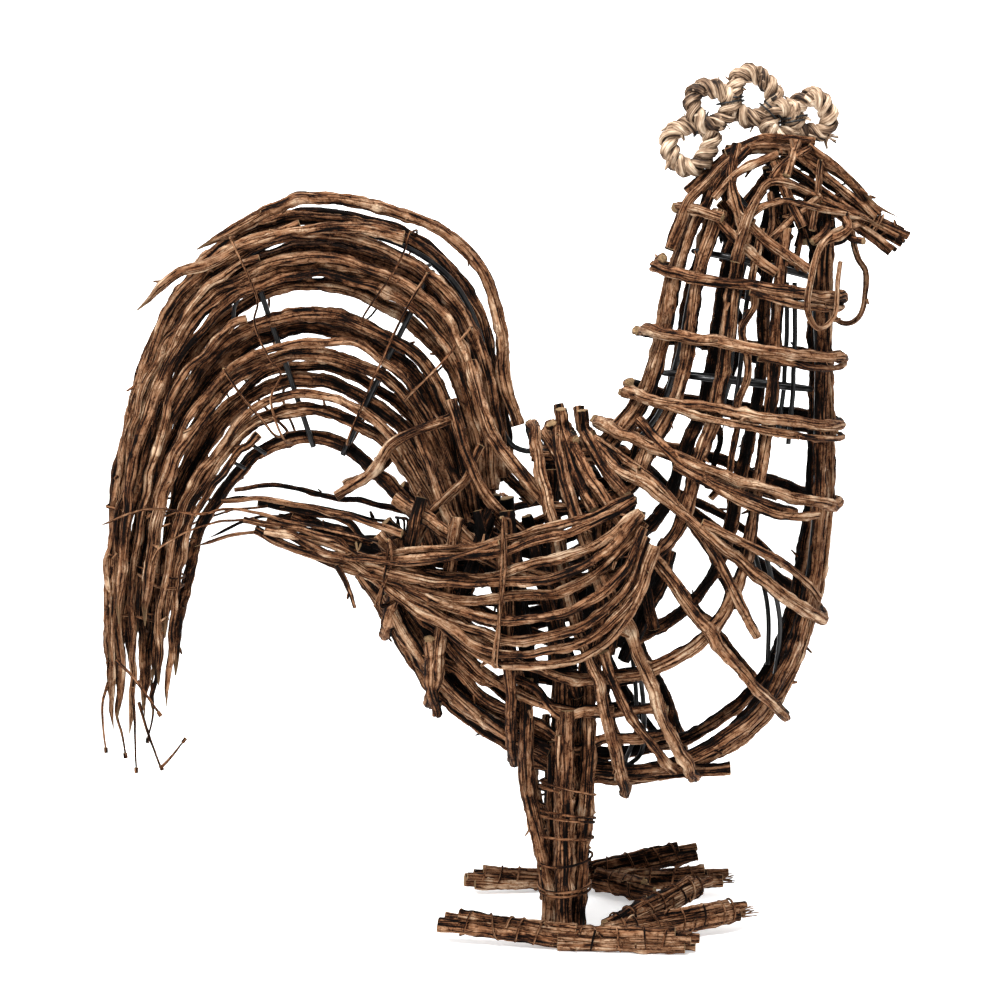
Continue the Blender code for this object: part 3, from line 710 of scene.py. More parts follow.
class Finish:
    """A material and the calls that add its nodes."""

    def __init__(self, name, **plain):
        self.material = bpy.data.materials.new(name)
        self.material.use_nodes = True
        self.tree = self.material.node_tree
        self.shader = self.tree.nodes["Principled BSDF"]
        for socket, value in plain.items():
            self.shader.inputs[socket.replace("_", " ")].default_value = value

    def node(self, kind, settings=None, inputs=None, output=0):
        made = self.tree.nodes.new(kind)
        for key, value in (settings or {}).items():
            if key == "stops":
                ramp = made.color_ramp.elements
                while len(ramp) < len(value):
                    ramp.new(1.0)
                for stop, (place, colour) in zip(ramp, value):
                    stop.position = place
                    stop.color = (*colour, 1.0)
            else:
                setattr(made, key, value)
        for key, value in (inputs or {}).items():
            if isinstance(value, Value):
                self.tree.links.new(value.socket, made.inputs[key])
            else:
                made.inputs[key].default_value = value
        return Value(self, made.outputs[output])

    def attribute(self, name):
        return self.node("ShaderNodeAttribute", {"attribute_name": name}, output="Vector")

    def noise(self, place, scale, detail=2.0, rough=0.5):
        return self.node("ShaderNodeTexNoise", {},
                         {"Vector": place, "Scale": scale, "Detail": detail, "Roughness": rough})

    def long_noise(self, grain, share, scale, detail, rough):
        """Noise drawn out along the twig, whose length counts for this share only."""
        factors = (1.0, 1.0, share)
        place = self.node("ShaderNodeVectorMath", {"operation": "MULTIPLY"}, {0: grain, 1: factors})
        return self.noise(place, scale, detail, rough)

    def blend(self, share, first, second, mode="MIX"):
        return self.node("ShaderNodeMix", {"data_type": "RGBA", "blend_type": mode},
                         {"Factor": share, 6: first, 7: second}, output=2)

    def ramp(self, level, stops):
        return self.node("ShaderNodeValToRGB", {"stops": stops}, {0: level})

    def parts(self, place):
        split = self.node("ShaderNodeSeparateXYZ", {}, {0: place})
        outputs = split.socket.node.outputs
        return [Value(self, outputs[n]) for n in range(3)]

    def feed(self, socket, value):
        self.tree.links.new(value.socket, self.shader.inputs[socket])

    def raise_surface(self, height, strength, distance):
        self.feed("Normal", self.node("ShaderNodeBump", {},
                                      {"Height": height, "Strength": strength, "Distance": distance}))


def rgb(red, green, blue):
    return (red, green, blue, 1.0)


def thin_lines(noise, level, sharpness):
    """1 along the lines where the noise has this level, 0 away from them."""
    return (1.0 - (noise - level).size() * sharpness).clamp()


# Patterns of the bark: how much longer they are along a twig, as the share that its length is
# scaled by, then scale, detail and roughness
BARK_PATTERNS = {
    "fibres": (0.06, 1300, 3.0, 0.6),
    "strips": (0.07, 300, 2.0, 0.5),
    "splits": (0.04, 330, 2.0, 0.5),
    "slits": (0.045, 720, 2.0, 0.5),
    "flakes": (0.6, 320, 3.0, 0.6),
    "crumbs": (0.7, 850, 4.0, 0.65),
}
BROWN_BARK = (
    (0.0, (0.0016, 0.0005, 0.0002)), (0.17, (0.011, 0.0035, 0.0013)), (0.34, (0.074, 0.0265, 0.0105)),
    (0.50, (0.180, 0.077, 0.035)), (0.66, (0.268, 0.136, 0.070)), (0.82, (0.345, 0.202, 0.117)),
    (1.0, (0.50, 0.345, 0.225)),
)
GREY_BARK = (
    (0.0, (0.002, 0.0012, 0.0008)), (0.36, (0.045, 0.026, 0.017)), (0.68, (0.23, 0.150, 0.105)),
    (1.0, (0.48, 0.38, 0.29)),
)
STRAW_COLOURS = (
    (0.0, (0.010, 0.005, 0.0025)), (0.22, (0.075, 0.040, 0.022)), (0.45, (0.25, 0.160, 0.098)),
    (0.7, (0.46, 0.335, 0.23)), (1.0, (0.70, 0.57, 0.43)),
)


def bark_finish():
    """Brown vine bark: fine fibres, thin dark cracks, pale cut ends, tan painted highlight on ridges, and
    painted shade in hollows and on the inside of the weave.
    """
    f = Finish("vine_bark", Roughness=0.85, Specular_IOR_Level=0.08)
    grain = f.attribute("grain")
    painted_shading, bare, tone = f.parts(f.attribute("look"))
    fibres, strips, splits, slits, flakes, crumbs = (
        f.long_noise(grain, *pattern) for pattern in BARK_PATTERNS.values())
    mottles = f.noise(grain, 95, 2.0)
    cracks = (thin_lines(splits, 0.5, 17.0) * 1.15 + thin_lines(slits, 0.52, 13.0) * 0.4
              + thin_lines(flakes, 0.44, 28.0) * 0.55)
    # the look's first part adds painted shade in the bark's hollows and on the inside of the weave, and
    # painted highlight on its ridges
    level = (0.60 + (fibres - 0.5) * 0.40 + (strips - 0.5) * 0.40 + (mottles - 0.5) * 0.38
             + (crumbs - 0.5) * 0.55 + (tone - 0.5) * 0.38 + painted_shading * 0.42 - cracks * 0.44)
    age = ((f.noise(grain, 60, 2.0) - 0.56) * 3.6).clamp() * 0.4
    weathered = f.blend(age, f.ramp(level, BROWN_BARK), f.ramp(level, GREY_BARK))
    wood = f.blend(f.noise(grain, 1200, 2.0), rgb(0.62, 0.42, 0.22), rgb(0.20, 0.105, 0.05))
    f.feed("Base Color", f.blend(bare * 0.92, weathered, wood))
    f.feed("Roughness", 0.95 - fibres * 0.25)
    height = fibres * 0.25 + strips * 0.4 + flakes * 0.35 + crumbs * 0.35 - cracks * 0.7
    f.raise_surface(height, 1.0, 0.0020)
    return f.material


def wire_finish():
    """Black coated wire with faint scuffs."""
    f = Finish("black_wire", Roughness=0.32, Specular_IOR_Level=0.3)
    scuffs = ((f.noise(f.attribute("grain"), 300, 3.0) - 0.5) * 5.0).clamp()
    f.feed("Base Color", f.blend(scuffs * 0.35, rgb(0.002, 0.002, 0.0023), rgb(0.013, 0.012, 0.011)))
    f.feed("Roughness", 0.28 + scuffs * 0.3)
    return f.material


def straw_finish():
    """Dry twisted straw: pale fibres with brown ones between them."""
    f = Finish("straw_rope", Roughness=0.8, Specular_IOR_Level=0.2)
    grain = f.attribute("grain")
    painted_shading, _, tone = f.parts(f.attribute("look"))
    fibres = f.long_noise(grain, 0.09, 1300, 3.0, 0.6)
    patches = f.noise(grain, 170, 2.0)
    # the look's first part adds painted shade in the hollows of the straw and painted highlight on its
    # ridges
    level = 0.42 + (fibres - 0.5) * 1.9 + (patches - 0.5) * 1.3 + (tone - 0.5) * 0.25 + painted_shading * 0.60
    f.feed("Base Color", f.ramp(level, STRAW_COLOURS))
    f.feed("Roughness", 0.85 - fibres * 0.3)
    f.raise_surface(fibres, 0.9, 0.0009)
    return f.material


# The wire frame: the stations of the two rings round the neck, and the thinner uprights and
# braces, each as station and angle from place to place
WIRE_RINGS = (("wire_neck_ring_upper", 0.6), ("wire_neck_ring_lower", 2.5))
THIN_WIRES = {
    "upright_nape": ((0.2, 138), (1.2, 138), (2.3, 138), (3.2, 138), (4.0, 138)),
    "upright_neck": ((0.3, 92), (1.2, 92), (2.3, 92), (3.2, 92)),
    "upright_throat": ((0.8, 52), (1.6, 52), (2.5, 52), (3.3, 52)),
    "brace_breast": ((4.7, 60), (5.2, 40), (5.7, 22)),
    "brace_belly": ((7.0, 78), (7.4, 40), (7.7, 8)),
}
# Ends of tying wire, as x, z in the side view
WIRE_ENDS = (
    ((143, 455), (152, 445), (161, 455)),
    ((-168, 290), (-159, 285)),
    ((-154, 299), (-146, 294)),
    ((-150, 400), (-163, 388), (-166, 372)),
    ((-46, 404), (-50, 408), (-44, 410)),
)
WIRE_ENDS_ACROSS = -6
WIRE_END_THICK = 0.0024


def add_wires(wire):
    """The black frame: keel, back and tail arc, neck rings, struts, uprights, braces and wire ends."""
    wires = {
        "wire_keel": along_body(0, np.linspace(1, STAKE_END, 30), WIRE_LIFT),
        "wire_back": along_body(180, (0.5, 1, 2, 3, 4, 5, 6, 7), WIRE_LIFT) + in_side_view(TAIL_ARC),
    }
    for name, t in WIRE_RINGS:
        wires[name] = round_body(t, range(0, 372, 12), RING_WIRE_LIFT)
    for name, places in TAIL_STRUTS.items():
        wires[name] = in_side_view(places)
    for name, points in wires.items():
        form = Form(1)
        form.rod(smooth_path(points, WIRE_STEP), WIRE_THICK * 0.92)
        form.finish(name + "_round", wire, name)
    inner = RING_WIRE_LIFT + WIRE_THICK
    for side in (-1, 1):
        for name, places in THIN_WIRES.items():
            form = Form(2)
            points = [body_point(t, side * angle, inner) for t, angle in places]
            form.rod(smooth_path(points, WIRE_STEP), WIRE_THICK * 0.8, crooked=0.0006)
            form.finish("wire_" + side_name(name, side), wire)
    form = Form(3)
    for places in WIRE_ENDS:
        form.rod(smooth_path(in_side_view(places, WIRE_ENDS_ACROSS), 0.003), WIRE_END_THICK, crooked=0.0004)
    form.finish("wire_ends", wire)


# Thinner twigs beside the stakes: angle, first and last station, thickness
THIN_STAKES = (
    (91, 0.1, 4.4, 0.0042),
    (15, 3.6, 10.8, 0.0054),
    (43, 7.0, 11.4, 0.0066),
    (58, 7.6, 11.6, 0.0062),
)
STAKE_SWING = 5             # degrees that a thin stake wanders to each side


def add_stakes(bark):
    """The long twigs of neck and body, and thinner ones beside them."""
    for side in (-1, 1):
        for number, angle in enumerate(STAKE_ANGLES, 1):
            last = STAKE_END if angle <= CRADLE_ANGLE else RING_STATIONS[-1]
            add_twig(bark, side_name("stake", side, number), 100 * number + side,
                     along_body(side * angle, np.linspace(0, last, 24)), STAKE_THICK * 1.06,
                     tone=(0.15, 0.75), snags=4)
        for number, (angle, first, last, thick) in enumerate(THIN_STAKES, 1):
            form = Form(700 + 10 * number + side, toward_body)
            swings = form.rng.uniform(-STAKE_SWING, STAKE_SWING, 12)
            points = [body_point(t, side * (angle + swing))
                      for t, swing in zip(np.linspace(first, last, 12), swings)]
            form.twig(points, thick, crooked=0.0009, tone=(0.1, 0.8), snags=3)
            form.finish(side_name("thin_stake", side, number), bark)
    add_twig(bark, "stake_keel", 7, along_body(0, np.linspace(0, STAKE_END, 30)), STAKE_THICK * 1.02,
             crooked=0.0009, tone=0.8, snags=5)


def hoop_end(t, angle, further):
    """Points where a hoop's end runs straight on past the back instead of turning with it."""
    before = body_point(t, angle + math.copysign(12, -angle), HOOP_LIFT)
    held = body_point(t, angle, HOOP_LIFT)
    along = (held - before).normalized()
    return [held, held + along * further * 0.5, held + along * further]


# A thinner twig beside some of the rings: how far along from the ring, in stations, and the
# angles that it spans
COMPANIONS = ((0.20, -6, 92), (0.22, 6, 84), (0.24, -4, 150), (0.30, 40, 112), (-0.26, 30, 96))
LOOSE_COMPANION = 3         # the one whose end stands out past the nape
HOOP_SLANT = 0.05           # stations
HOOP_LAP = 0.10             # stations from a ring's last stretch to its first one beside it
LAP_ANGLE = 140
BAND_STATION = 0.10         # the bands over the nape at the top of the neck
BAND_THICK = 0.0064


def add_hoop(bark, number, t):
    """A ring of twig round the neck or body, with its ends side by side and one standing out."""
    form = Form(300 + number, toward_body)
    side = -1 if number % 2 else 1
    slant = form.rng.uniform(-HOOP_SLANT, HOOP_SLANT)
    points = hoop_end(t, side * 158, 0.011)[::-1]
    for angle in range(146, -200, -12):
        at = t + slant * math.cos(math.radians(angle))
        if angle < -LAP_ANGLE:
            at -= HOOP_LAP * (-angle - LAP_ANGLE) / 40
        points.append(body_point(at, side * angle, HOOP_LIFT))
    form.twig(points, HOOP_THICK * 1.02, crooked=0.0024, tone=(0.55, 1.0), snags=5)
    form.finish(f"hoop_{number}_twig", bark, f"hoop_{number}")


def add_companion(bark, number, t, side):
    """The thinner twig beside a ring on one side."""
    shift, first, last = COMPANIONS[number - 1]
    if side > 0:
        first, last = first + 15, min(last + 10, 150)
    points = []
    for share in np.linspace(0, 1, 12):
        at = t + shift * (0.55 + 0.45 * math.sin(math.pi * share))
        points.append(body_point(at, side * (first + (last - first) * share), HOOP_LIFT + WEAVE_SLACK))
    if number == LOOSE_COMPANION:
        points += hoop_end(t + shift * 0.5, side * (last + 6), 0.010)[1:]
    add_twig(bark, side_name("hoop_companion", side, number), 330 + 10 * number + side, points,
             (0.0048, 0.0062), solid=False, taper=(0.75, 1.0), tone=(0.5, 1.0), snags=2)


def add_hoops(bark):
    """Rings round neck and body, thinner twigs beside them, cradles and the bands over the nape."""
    for number, t in enumerate(RING_STATIONS, 1):
        add_hoop(bark, number, t)
        if number <= len(COMPANIONS):
            for side in (-1, 1):
                add_companion(bark, number, t, side)
    for number, t in enumerate(CRADLE_STATIONS, len(RING_STATIONS) + 1):
        add_twig(bark, f"hoop_{number}", 300 + number,
                 round_body(t, np.linspace(-CRADLE_ANGLE, CRADLE_ANGLE, 20), HOOP_LIFT),
                 HOOP_THICK * 1.12, snags=3)
    form = Form(390, toward_body)
    for side in (-1, 1):
        form.twig(round_body(BAND_STATION, side * np.linspace(122, 176, 8), HOOP_LIFT), BAND_THICK,
                  crooked=0.0008, tone=0.9)
    form.finish("neck_top_bands", bark)


# Short twigs of the saddle: station, how far they stand up in figure units, and lowest angle
SADDLE_STUBS = ((6.02, 1, 112), (7.15, 3, 100))
# Sticks inside the body: x of the lower and of the upper end, z of both, and the distance across
# as a share of the legs'
INNER_STICKS = (
    (18, 2, 150, 262, 0.92), (52, 64, 140, 268, 0.88), (34, 30, 158, 286, 0.6),
    (6, -14, 168, 262, 0.8), (64, 84, 176, 262, 0.95), (44, 16, 150, 250, 1.04),
    (92, 70, 190, 284, 0.75), (76, 104, 168, 236, 0.6), (-30, -6, 180, 266, 0.7),
)
INNER_SHADE_TONE = (-0.7, -0.1)   # painted shade: a darker tone than any twig outside


def add_ribs(bark):
    """Short twigs over the saddle, with cut ends that stand up, and the sticks inside the body."""
    for side in (-1, 1):
        for number, t in enumerate(RIB_STATIONS, 1):
            points = [body_point(t, side * a, HOOP_LIFT + HOOP_THICK * rise) for a, rise in RIB_COURSE]
            points.append(points[-1] + on_figure(-2, side * 2, 12))
            add_twig(bark, side_name("rib", side, number), 500 + 10 * number + side, points, HOOP_THICK,
                     shade=STUB_SHADE, crooked=0.0006, tone=(0.3, 0.8))
        for number, (t, tall, lowest) in enumerate(SADDLE_STUBS, 1):
            form = Form(560 + 10 * number + side, toward_body, STUB_SHADE)
            rng = form.rng
            lean, top = rng.uniform(-0.5, 0.5), rng.uniform(152, 163)
            points = [body_point(t + lean * share, side * (lowest + (top - lowest) * share),
                                 HOOP_LIFT + HOOP_THICK * (0.2 + 0.8 * share))
                      for share in (0, 0.25, 0.5, 0.75, 1.0)]
            for stray, aside in ((3, 1), (2, 0.5)):
                points.append(points[-1] + on_figure(rng.uniform(-stray, stray), side * aside, tall * 0.5))
            form.twig(points, (0.0060, 0.0076), crooked=0.0009, tone=(0.2, 0.8), snags=2)
            form.finish(side_name("saddle_stub", side, number), bark)
        for number, (low_x, high_x, low_z, high_z, across) in enumerate(INNER_STICKS, 1):
            points = [on_figure(low_x + (high_x - low_x) * share, 0, low_z + (high_z - low_z) * share)
                      + Vector((0, side * LEG_Y * across * (1 + 0.12 * math.sin(3 * share)), 0))
                      for share in (0, 0.3, 0.6, 0.85, 1.0)]
            # the sticks inside the body take painted shade through their dark tone
            add_twig(bark, side_name("inner_stick", side, number), 620 + 10 * number + side, points,
                     (0.0072, 0.0092), solid=False, crooked=0.0015, tone=INNER_SHADE_TONE, snags=2)


# Further twigs of the body, as x, z in the side view, with each one's thickness and lift in hoop
# thicknesses
BODY_TWIGS = (
    (((-68, 212), (-42, 170), (-4, 134), (30, 118)), 0.0074, 0.7),
    (((-80, 190), (-54, 156), (-40, 142), (-2, 114), (40, 99)), 0.0078, 0.2),
    (((-60, 226), (-24, 176), (16, 150), (60, 140), (98, 146)), 0.0066, 0.0),
    (((-39, 190), (-37, 160), (-34, 129)), 0.0070, 1.5),
    (((62, 300), (96, 276), (124, 240), (142, 205), (150, 190)), 0.0058, 0.9),
    (((86, 312), (106, 290), (140, 272), (172, 262)), 0.0060, 1.0),
    (((60, 182), (72, 150), (92, 122), (104, 108)), 0.0060, 1.0),
)
KEEL_TWIG = ((14, 104), (60, 96), (104, 97), (141, 99))
KEEL_TWIG_ACROSS = -17


def add_body_twigs(bark):
    """Twigs that cross the weave aslant on the flanks, and one beside the keel."""
    for side in (-1, 1):
        for number, (places, thick, lift) in enumerate(BODY_TWIGS, 1):
            points = [above_body(x * UNIT, z * UNIT, side, HOOP_LIFT * lift) for x, z in places]
            add_twig(bark, side_name("body_twig", side, number), 800 + 10 * number + side, points, thick,
                     solid=False, tone=(0.2, 0.9), snags=2)
    add_twig(bark, "keel_twig", 940, in_side_view(KEEL_TWIG, KEEL_TWIG_ACROSS), 0.0076, solid=False,
             tone=0.7, snags=3)


WING_VINES = 9
# Beyond the wing's back end every other vine runs on beside the tail: x, z and distance across
WING_TIPS = (
    ((-100, 246, 49), (-128, 254, 45), (-156, 258, 41)),
    ((-96, 239, 50), (-118, 245, 47), (-143, 250, 44)),
    ((-98, 233, 50), (-124, 240, 46), (-150, 249, 42)),
    ((-94, 236, 52), (-110, 240, 50), (-134, 252, 45)),
    ((-92, 228, 48), (-108, 233, 46), (-122, 238, 44)),
)
# Thinner vines that leave the wing, placed the same way, with each one's thickness
TENDRILS = (
    (((-74, 246, 56), (-120, 256, 47), (-164, 263, 38), (-183, 261, 36), (-217, 262, 34),
      (-245, 253, 32)), 0.0021),
    (((-2, 247, 84), (-44, 235, 72), (-84, 235, 56), (-101, 237, 52), (-125, 250, 47), (-144, 250, 42),
      (-164, 247, 38), (-187, 239, 34)), 0.0032),
    (((-99, 231, 53), (-95, 222, 54), (-93, 216, 54), (-89, 205, 54)), 0.0042),
    (((-60, 252, 60), (-104, 262, 46), (-142, 270, 38), (-170, 268, 34)), 0.0046),
    (((-150, 258, 41), (-178, 254, 36), (-206, 240, 33), (-214, 228, 32)), 0.0018),
)
CUT_FROM = 0.004            # vines over this thickness end in a cut, thinner ones in a point
WING_BINDINGS = ((3, 251, 182), (-61, 243, 216))    # x, and z of the top and of the bottom
BINDING_REACH = 0.0062      # how far in front of and behind the wing's vines its ties pass
BINDING_THICK = 0.0018


def wing_path(side, share, lift):
    """One vine of a wing at its share of the way down, before its tip."""
    points = []
    for (top_x, top_z), (low_x, low_z) in zip(WING_TOP, WING_BOTTOM):
        points.append(on_figure(top_x + (low_x - top_x) * share, 0, top_z + (low_z - top_z) * share))
    return [above_body(p.x, p.z, side, WING_LIFT + lift) for p in even_points(points, 7)]


def add_wings(bark):
    """Vines that fan out from the tail to the shoulder and are bound at both ends."""
    for side in (-1, 1):
        form = Form(1000 + side, toward_body)
        rng = form.rng
        for number in range(WING_VINES):
            share = number / (WING_VINES - 1) + rng.uniform(-0.035, 0.035)
            points = wing_path(side, min(max(share, 0), 1), 0.0022 * (number % 2) - 0.0008)
            if number % 2 == 0:
                points += beside_figure(WING_TIPS[number // 2], side)
                taper = (1.0, 0.78)
            else:
                along = (points[-1] - points[-2]).normalized()
                points.append(points[-1] + along * rng.uniform(0.006, 0.020))
                taper = (0.95, 0.9)
            form.twig(points, WING_THICK * rng.uniform(0.72, 1.0), crooked=0.0019, taper=taper,
                      tone=(0.45, 1.0), snags=3)
        name = side_name("wing", side)
        form.finish(name + "_vines", bark, name)
        form = Form(1020 + side, toward_body)
        for places, thick in TENDRILS:
            form.twig(beside_figure(places, side), thick, bark=0.9, furrows=1, crooked=0.0011,
                      taper=(1.0, 0.6), ends=("cut", "cut" if thick > CUT_FROM else "point"),
                      tone=(0.2, 0.8), snags=1)
        form.finish(side_name("wing_tendrils", side), bark)
        form = Form(1040 + side, toward_body)
        for x, top, low in WING_BINDINGS:
            front = [above_body(x * UNIT, z * UNIT, side, WING_LIFT + BINDING_REACH)
                     for z in np.linspace(top + 4, low - 4, 6)]
            inner = [above_body((x + 3) * UNIT, z * UNIT, side, WING_LIFT - BINDING_REACH)
                     for z in np.linspace(low - 4, top + 4, 6)]
            for shift in (0.0, 0.0026):
                loop = [p + Vector((shift * math.sin(n), 0, 0))
                        for n, p in enumerate(front + inner + front[:1])]
                form.tie(smooth_path(loop, 0.0022), BINDING_THICK)
        form.finish(side_name("wing_ties", side), bark)


# Further strands of the tail: place between the outer and the inner sweep, thickness, distance
# across, and shares of the way at which each starts and ends
TAIL_STRANDS = (
    (0.035, 0.0048, -15, 0.45, 1.02), (0.105, 0.0062, 15, 0.0, 1.02), (0.175, 0.0068, -16, 0.0, 1.03),
    (0.255, 0.0058, -14, 0.0, 0.96), (0.463, 0.0064, 15, 0.0, 1.03), (0.54, 0.0050, -16, 0.0, 0.9),
    (0.665, 0.0066, 15, 0.0, 1.0), (0.80, 0.0060, -16, 0.0, 1.0), (0.12, 0.0040, -22, 0.5, 1.04),
    (0.38, 0.0050, -20, 0.52, 1.05), (0.57, 0.0044, 20, 0.5, 1.04), (0.93, 0.0048, -14, 0.5, 1.03),
    (0.69, 0.0040, 21, 0.55, 1.04),
)
STRAND_POINTS = 22
STRAND_SWING = 0.014        # share of the way between the sweeps that a strand wanders
# A twig that leaves the tail's outline on its way down: x, z in the side view
STRAY_TWIG = ((-60, 428), (-92, 434), (-125, 431), (-154, 423), (-173, 414), (-193, 406), (-209, 396),
              (-223, 383))
STRAY_ACROSS = -15
TAIL_DROP = 26              # figure units from the end of the sweeps down to the lowest tips
ROOT_TWIGS = 6              # short twigs across the tail's root
PLUME_ENDS = ("cut", "point")
PLUME_FACTS = {
    "inward": toward_midplane, "shade": TAIL_SHADE, "ends": PLUME_ENDS, "crooked": 0.0016, "snags": 5,
}


def tail_place(share, part, wander=0.0):
    """A place at this share between the outer and the inner sweep, part of the way to the tips."""
    between = share + wander
    sweep = [on_figure(x0 + (x1 - x0) * between, 0, z0 + (z1 - z0) * between)
             for (x0, z0), (x1, z1) in zip(OUTER_SWEEP, INNER_SWEEP)]
    if part > 1.0:
        lower = sweep[-1] + (sweep[-1] - sweep[-2]).normalized() * TAIL_DROP * UNIT
        return sweep[-1].lerp(lower, (part - 1.0) / 0.05)
    return curve_value(sweep, (len(sweep) - 1) * part)


def add_plumes(bark):
    """The arched twigs of the tail, laid in bundles with open bands between them."""
    for number, (share, reach) in enumerate(zip(PLUME_BLENDS, PLUME_REACH), 1):
        lane = PLUME_LANES[(number - 1) % len(PLUME_LANES)]
        points = [tail_place(share, reach * i / 20) + Vector((0, lane_at(lane, reach * i / 20), 0))
                  for i in range(21)]
        add_twig(bark, f"plume_{number}", 400 + number, points, PLUME_THICK * 1.08, taper=(1.08, 0.78),
                 tone=(0.25, 0.9), **PLUME_FACTS)
    held = body_point(RING_STATIONS[-1], 180, HOOP_LIFT)
    held.x -= (HOOP_THICK + PLUME_THICK) / 2 + TOUCH
    crest = [p + Vector((0, plume_lane(-1), 0)) for p in [held] + in_side_view(CREST_SWEEP)]
    add_twig(bark, "plume_crest", 420, crest, PLUME_THICK * 1.05, taper=(1.0, 0.85), tone=0.65,
             **PLUME_FACTS)
    for number, (share, thick, across, first, last) in enumerate(TAIL_STRANDS, 1):
        form = Form(430 + number, toward_midplane, TAIL_SHADE)
        swings = form.rng.uniform(-STRAND_SWING, STRAND_SWING, STRAND_POINTS)
        points = []
        for i, swing in enumerate(swings):
            part = first + (last - first) * i / (STRAND_POINTS - 1)
            spread = 0.75 + 0.25 * math.cos(math.pi * min(part, 1.0))
            points.append(tail_place(share, part, swing) + on_figure(0, across * spread, 0))
        form.twig(points, thick, taper=(1.1, 0.75), ends=PLUME_ENDS, crooked=0.0018,
                  tone=(0.1, 1.0), snags=4)
        form.finish(f"tail_strand_{number}", bark)
    form = Form(480, toward_midplane, TAIL_SHADE)
    arc = [tail_place(-0.045, part) + on_figure(0, 9, 0) for part in np.linspace(0.02, 0.5, 10)]
    stray = in_side_view(STRAY_TWIG, STRAY_ACROSS)
    for points, thick, tone in ((arc, 0.0050, 0.3), (stray, 0.0070, 0.8)):
        form.twig(points, thick, taper=(1.0, 0.8), ends=PLUME_ENDS, crooked=0.0014, tone=tone, snags=2)
    form.finish("crest_companion", bark)
    form = Form(490, toward_midplane, TAIL_SHADE)
    rng = form.rng
    for number in range(ROOT_TWIGS):
        x, z = -30 + 8.0 * number - rng.uniform(0, 4), 262 + 11.0 * number - rng.uniform(0, 8)
        side = -1 if number % 2 else 1
        start = on_figure(x - 26, side * rng.uniform(18, 27), z + 40)
        end = on_figure(x + 20, side * rng.uniform(28, 46), z - 44)
        middle = start.lerp(end, 0.5) + on_figure(-8, 0, -3)
        form.twig([start, middle, end], (0.0066, 0.0086), crooked=0.0014, tone=(0.1, 0.9), snags=2)
    form.finish("tail_root_twigs", bark)


# Vines tied across the tail: x, z in the side view, thickness and how far out they lie
TAIL_TIES = (
    (((-165, 427), (-157, 409), (-149, 389), (-151, 375), (-143, 355), (-135, 344), (-141, 328),
      (-133, 304)), 0.0017, 21),
    (((-170, 347), (-157, 328), (-146, 315), (-138, 306)), 0.0019, 20),
    (((-27, 320), (-46, 312), (-67, 301), (-80, 285), (-102, 271)), 0.0064, 25),
    (((-13, 301), (-24, 280), (-40, 264), (-56, 240)), 0.0060, 27),
    (((-243, 232), (-229, 226), (-214, 220), (-202, 217)), 0.0017, 9),
    (((-242, 225), (-228, 221), (-214, 212), (-203, 211)), 0.0017, 9),
    (((-236, 194), (-226, 193), (-213, 190)), 0.0016, 8),
    (((-244, 262), (-226, 258), (-210, 256), (-198, 260)), 0.0017, 10),
    (((-46, 405), (-58, 384), (-74, 351), (-94, 305)), 0.0018, 20),
    (((-56, 430), (-64, 410), (-84, 380)), 0.0015, 18),
    (((-20, 372), (-36, 352), (-58, 330)), 0.0017, 19),
)
OPEN_FROM = 0.004           # vines over this thickness cross on both sides, thinner ones go round
# Thin tendrils that hang from the tail's tips: x, z, distance across
TIP_TENDRILS = (
    ((-245, 152, -8), (-249, 136, -9), (-247, 110, -10)),
    ((-240, 146, 2), (-242, 132, 2), (-239, 118, 3), (-237, 104, 3)),
    ((-229, 150, -16), (-228, 131, -17), (-227, 99, -18)),
    ((-226, 140, -12), (-219, 118, -14), (-212, 100, -15)),
    ((-212, 100, -15), (-206, 106, -15), (-198, 116, -14)),
    ((-238, 168, -20), (-226, 155, -21), (-212, 135, -22)),
    ((-221, 150, 10), (-220, 130, 11), (-224, 112, 12)),
)


def add_tail_ties(bark):
    """Vines tied across the tail, and the tendrils at its tips with a knob on each."""
    for number, (places, thick, across) in enumerate(TAIL_TIES, 1):
        form = Form(1100 + number)
        front = in_side_view(places, -across)
        back = [on_figure(x + 3, across, z) for x, z in reversed(places)]
        if thick > OPEN_FROM:
            form.twig(front, thick, crooked=0.0014, tone=0.85, snags=3)
            # the half behind the tail has painted shade: a darker tone than the front half
            form.twig(back, thick, crooked=0.0014, tone=0.6, snags=2)
        else:
            form.tie(smooth_path(front + back + front[:1], 0.0026), thick)
        form.finish(f"tail_tie_{number}", bark)
    form = Form(1150)
    for places in TIP_TENDRILS:
        points = beside_figure(places, 1)
        form.tie(smooth_path(points, FINE_STEP), 0.0019, taper=(1.2, 0.7), tone=0.1)
        out = (points[-1] - points[-2]).normalized()
        form.rod(straight(points[-1], out, (-0.001, 0.0006, 0.0022)), 0.0026, bark=0.5, tone=0.2)
    form.finish("tip_tendrils", bark)


SOLE_GAP = Vector((0, 0, 0.0005))       # from the floor to the sticks' lower ends
THIN_LEG_STICKS = ((48, 0.0052, 150), (138, 0.0048, 120), (252, 0.0044, 128))   # bearing, thickness, top
# Bindings of a leg: height, width beside the leg's own, number of turns
LEG_BINDINGS = ((93, 1.06, 1.6), (76, 1.05, 2.4), (50, 1.02, 1.5), (33, 1.0, 2.2), (64, 1.03, 1.2))


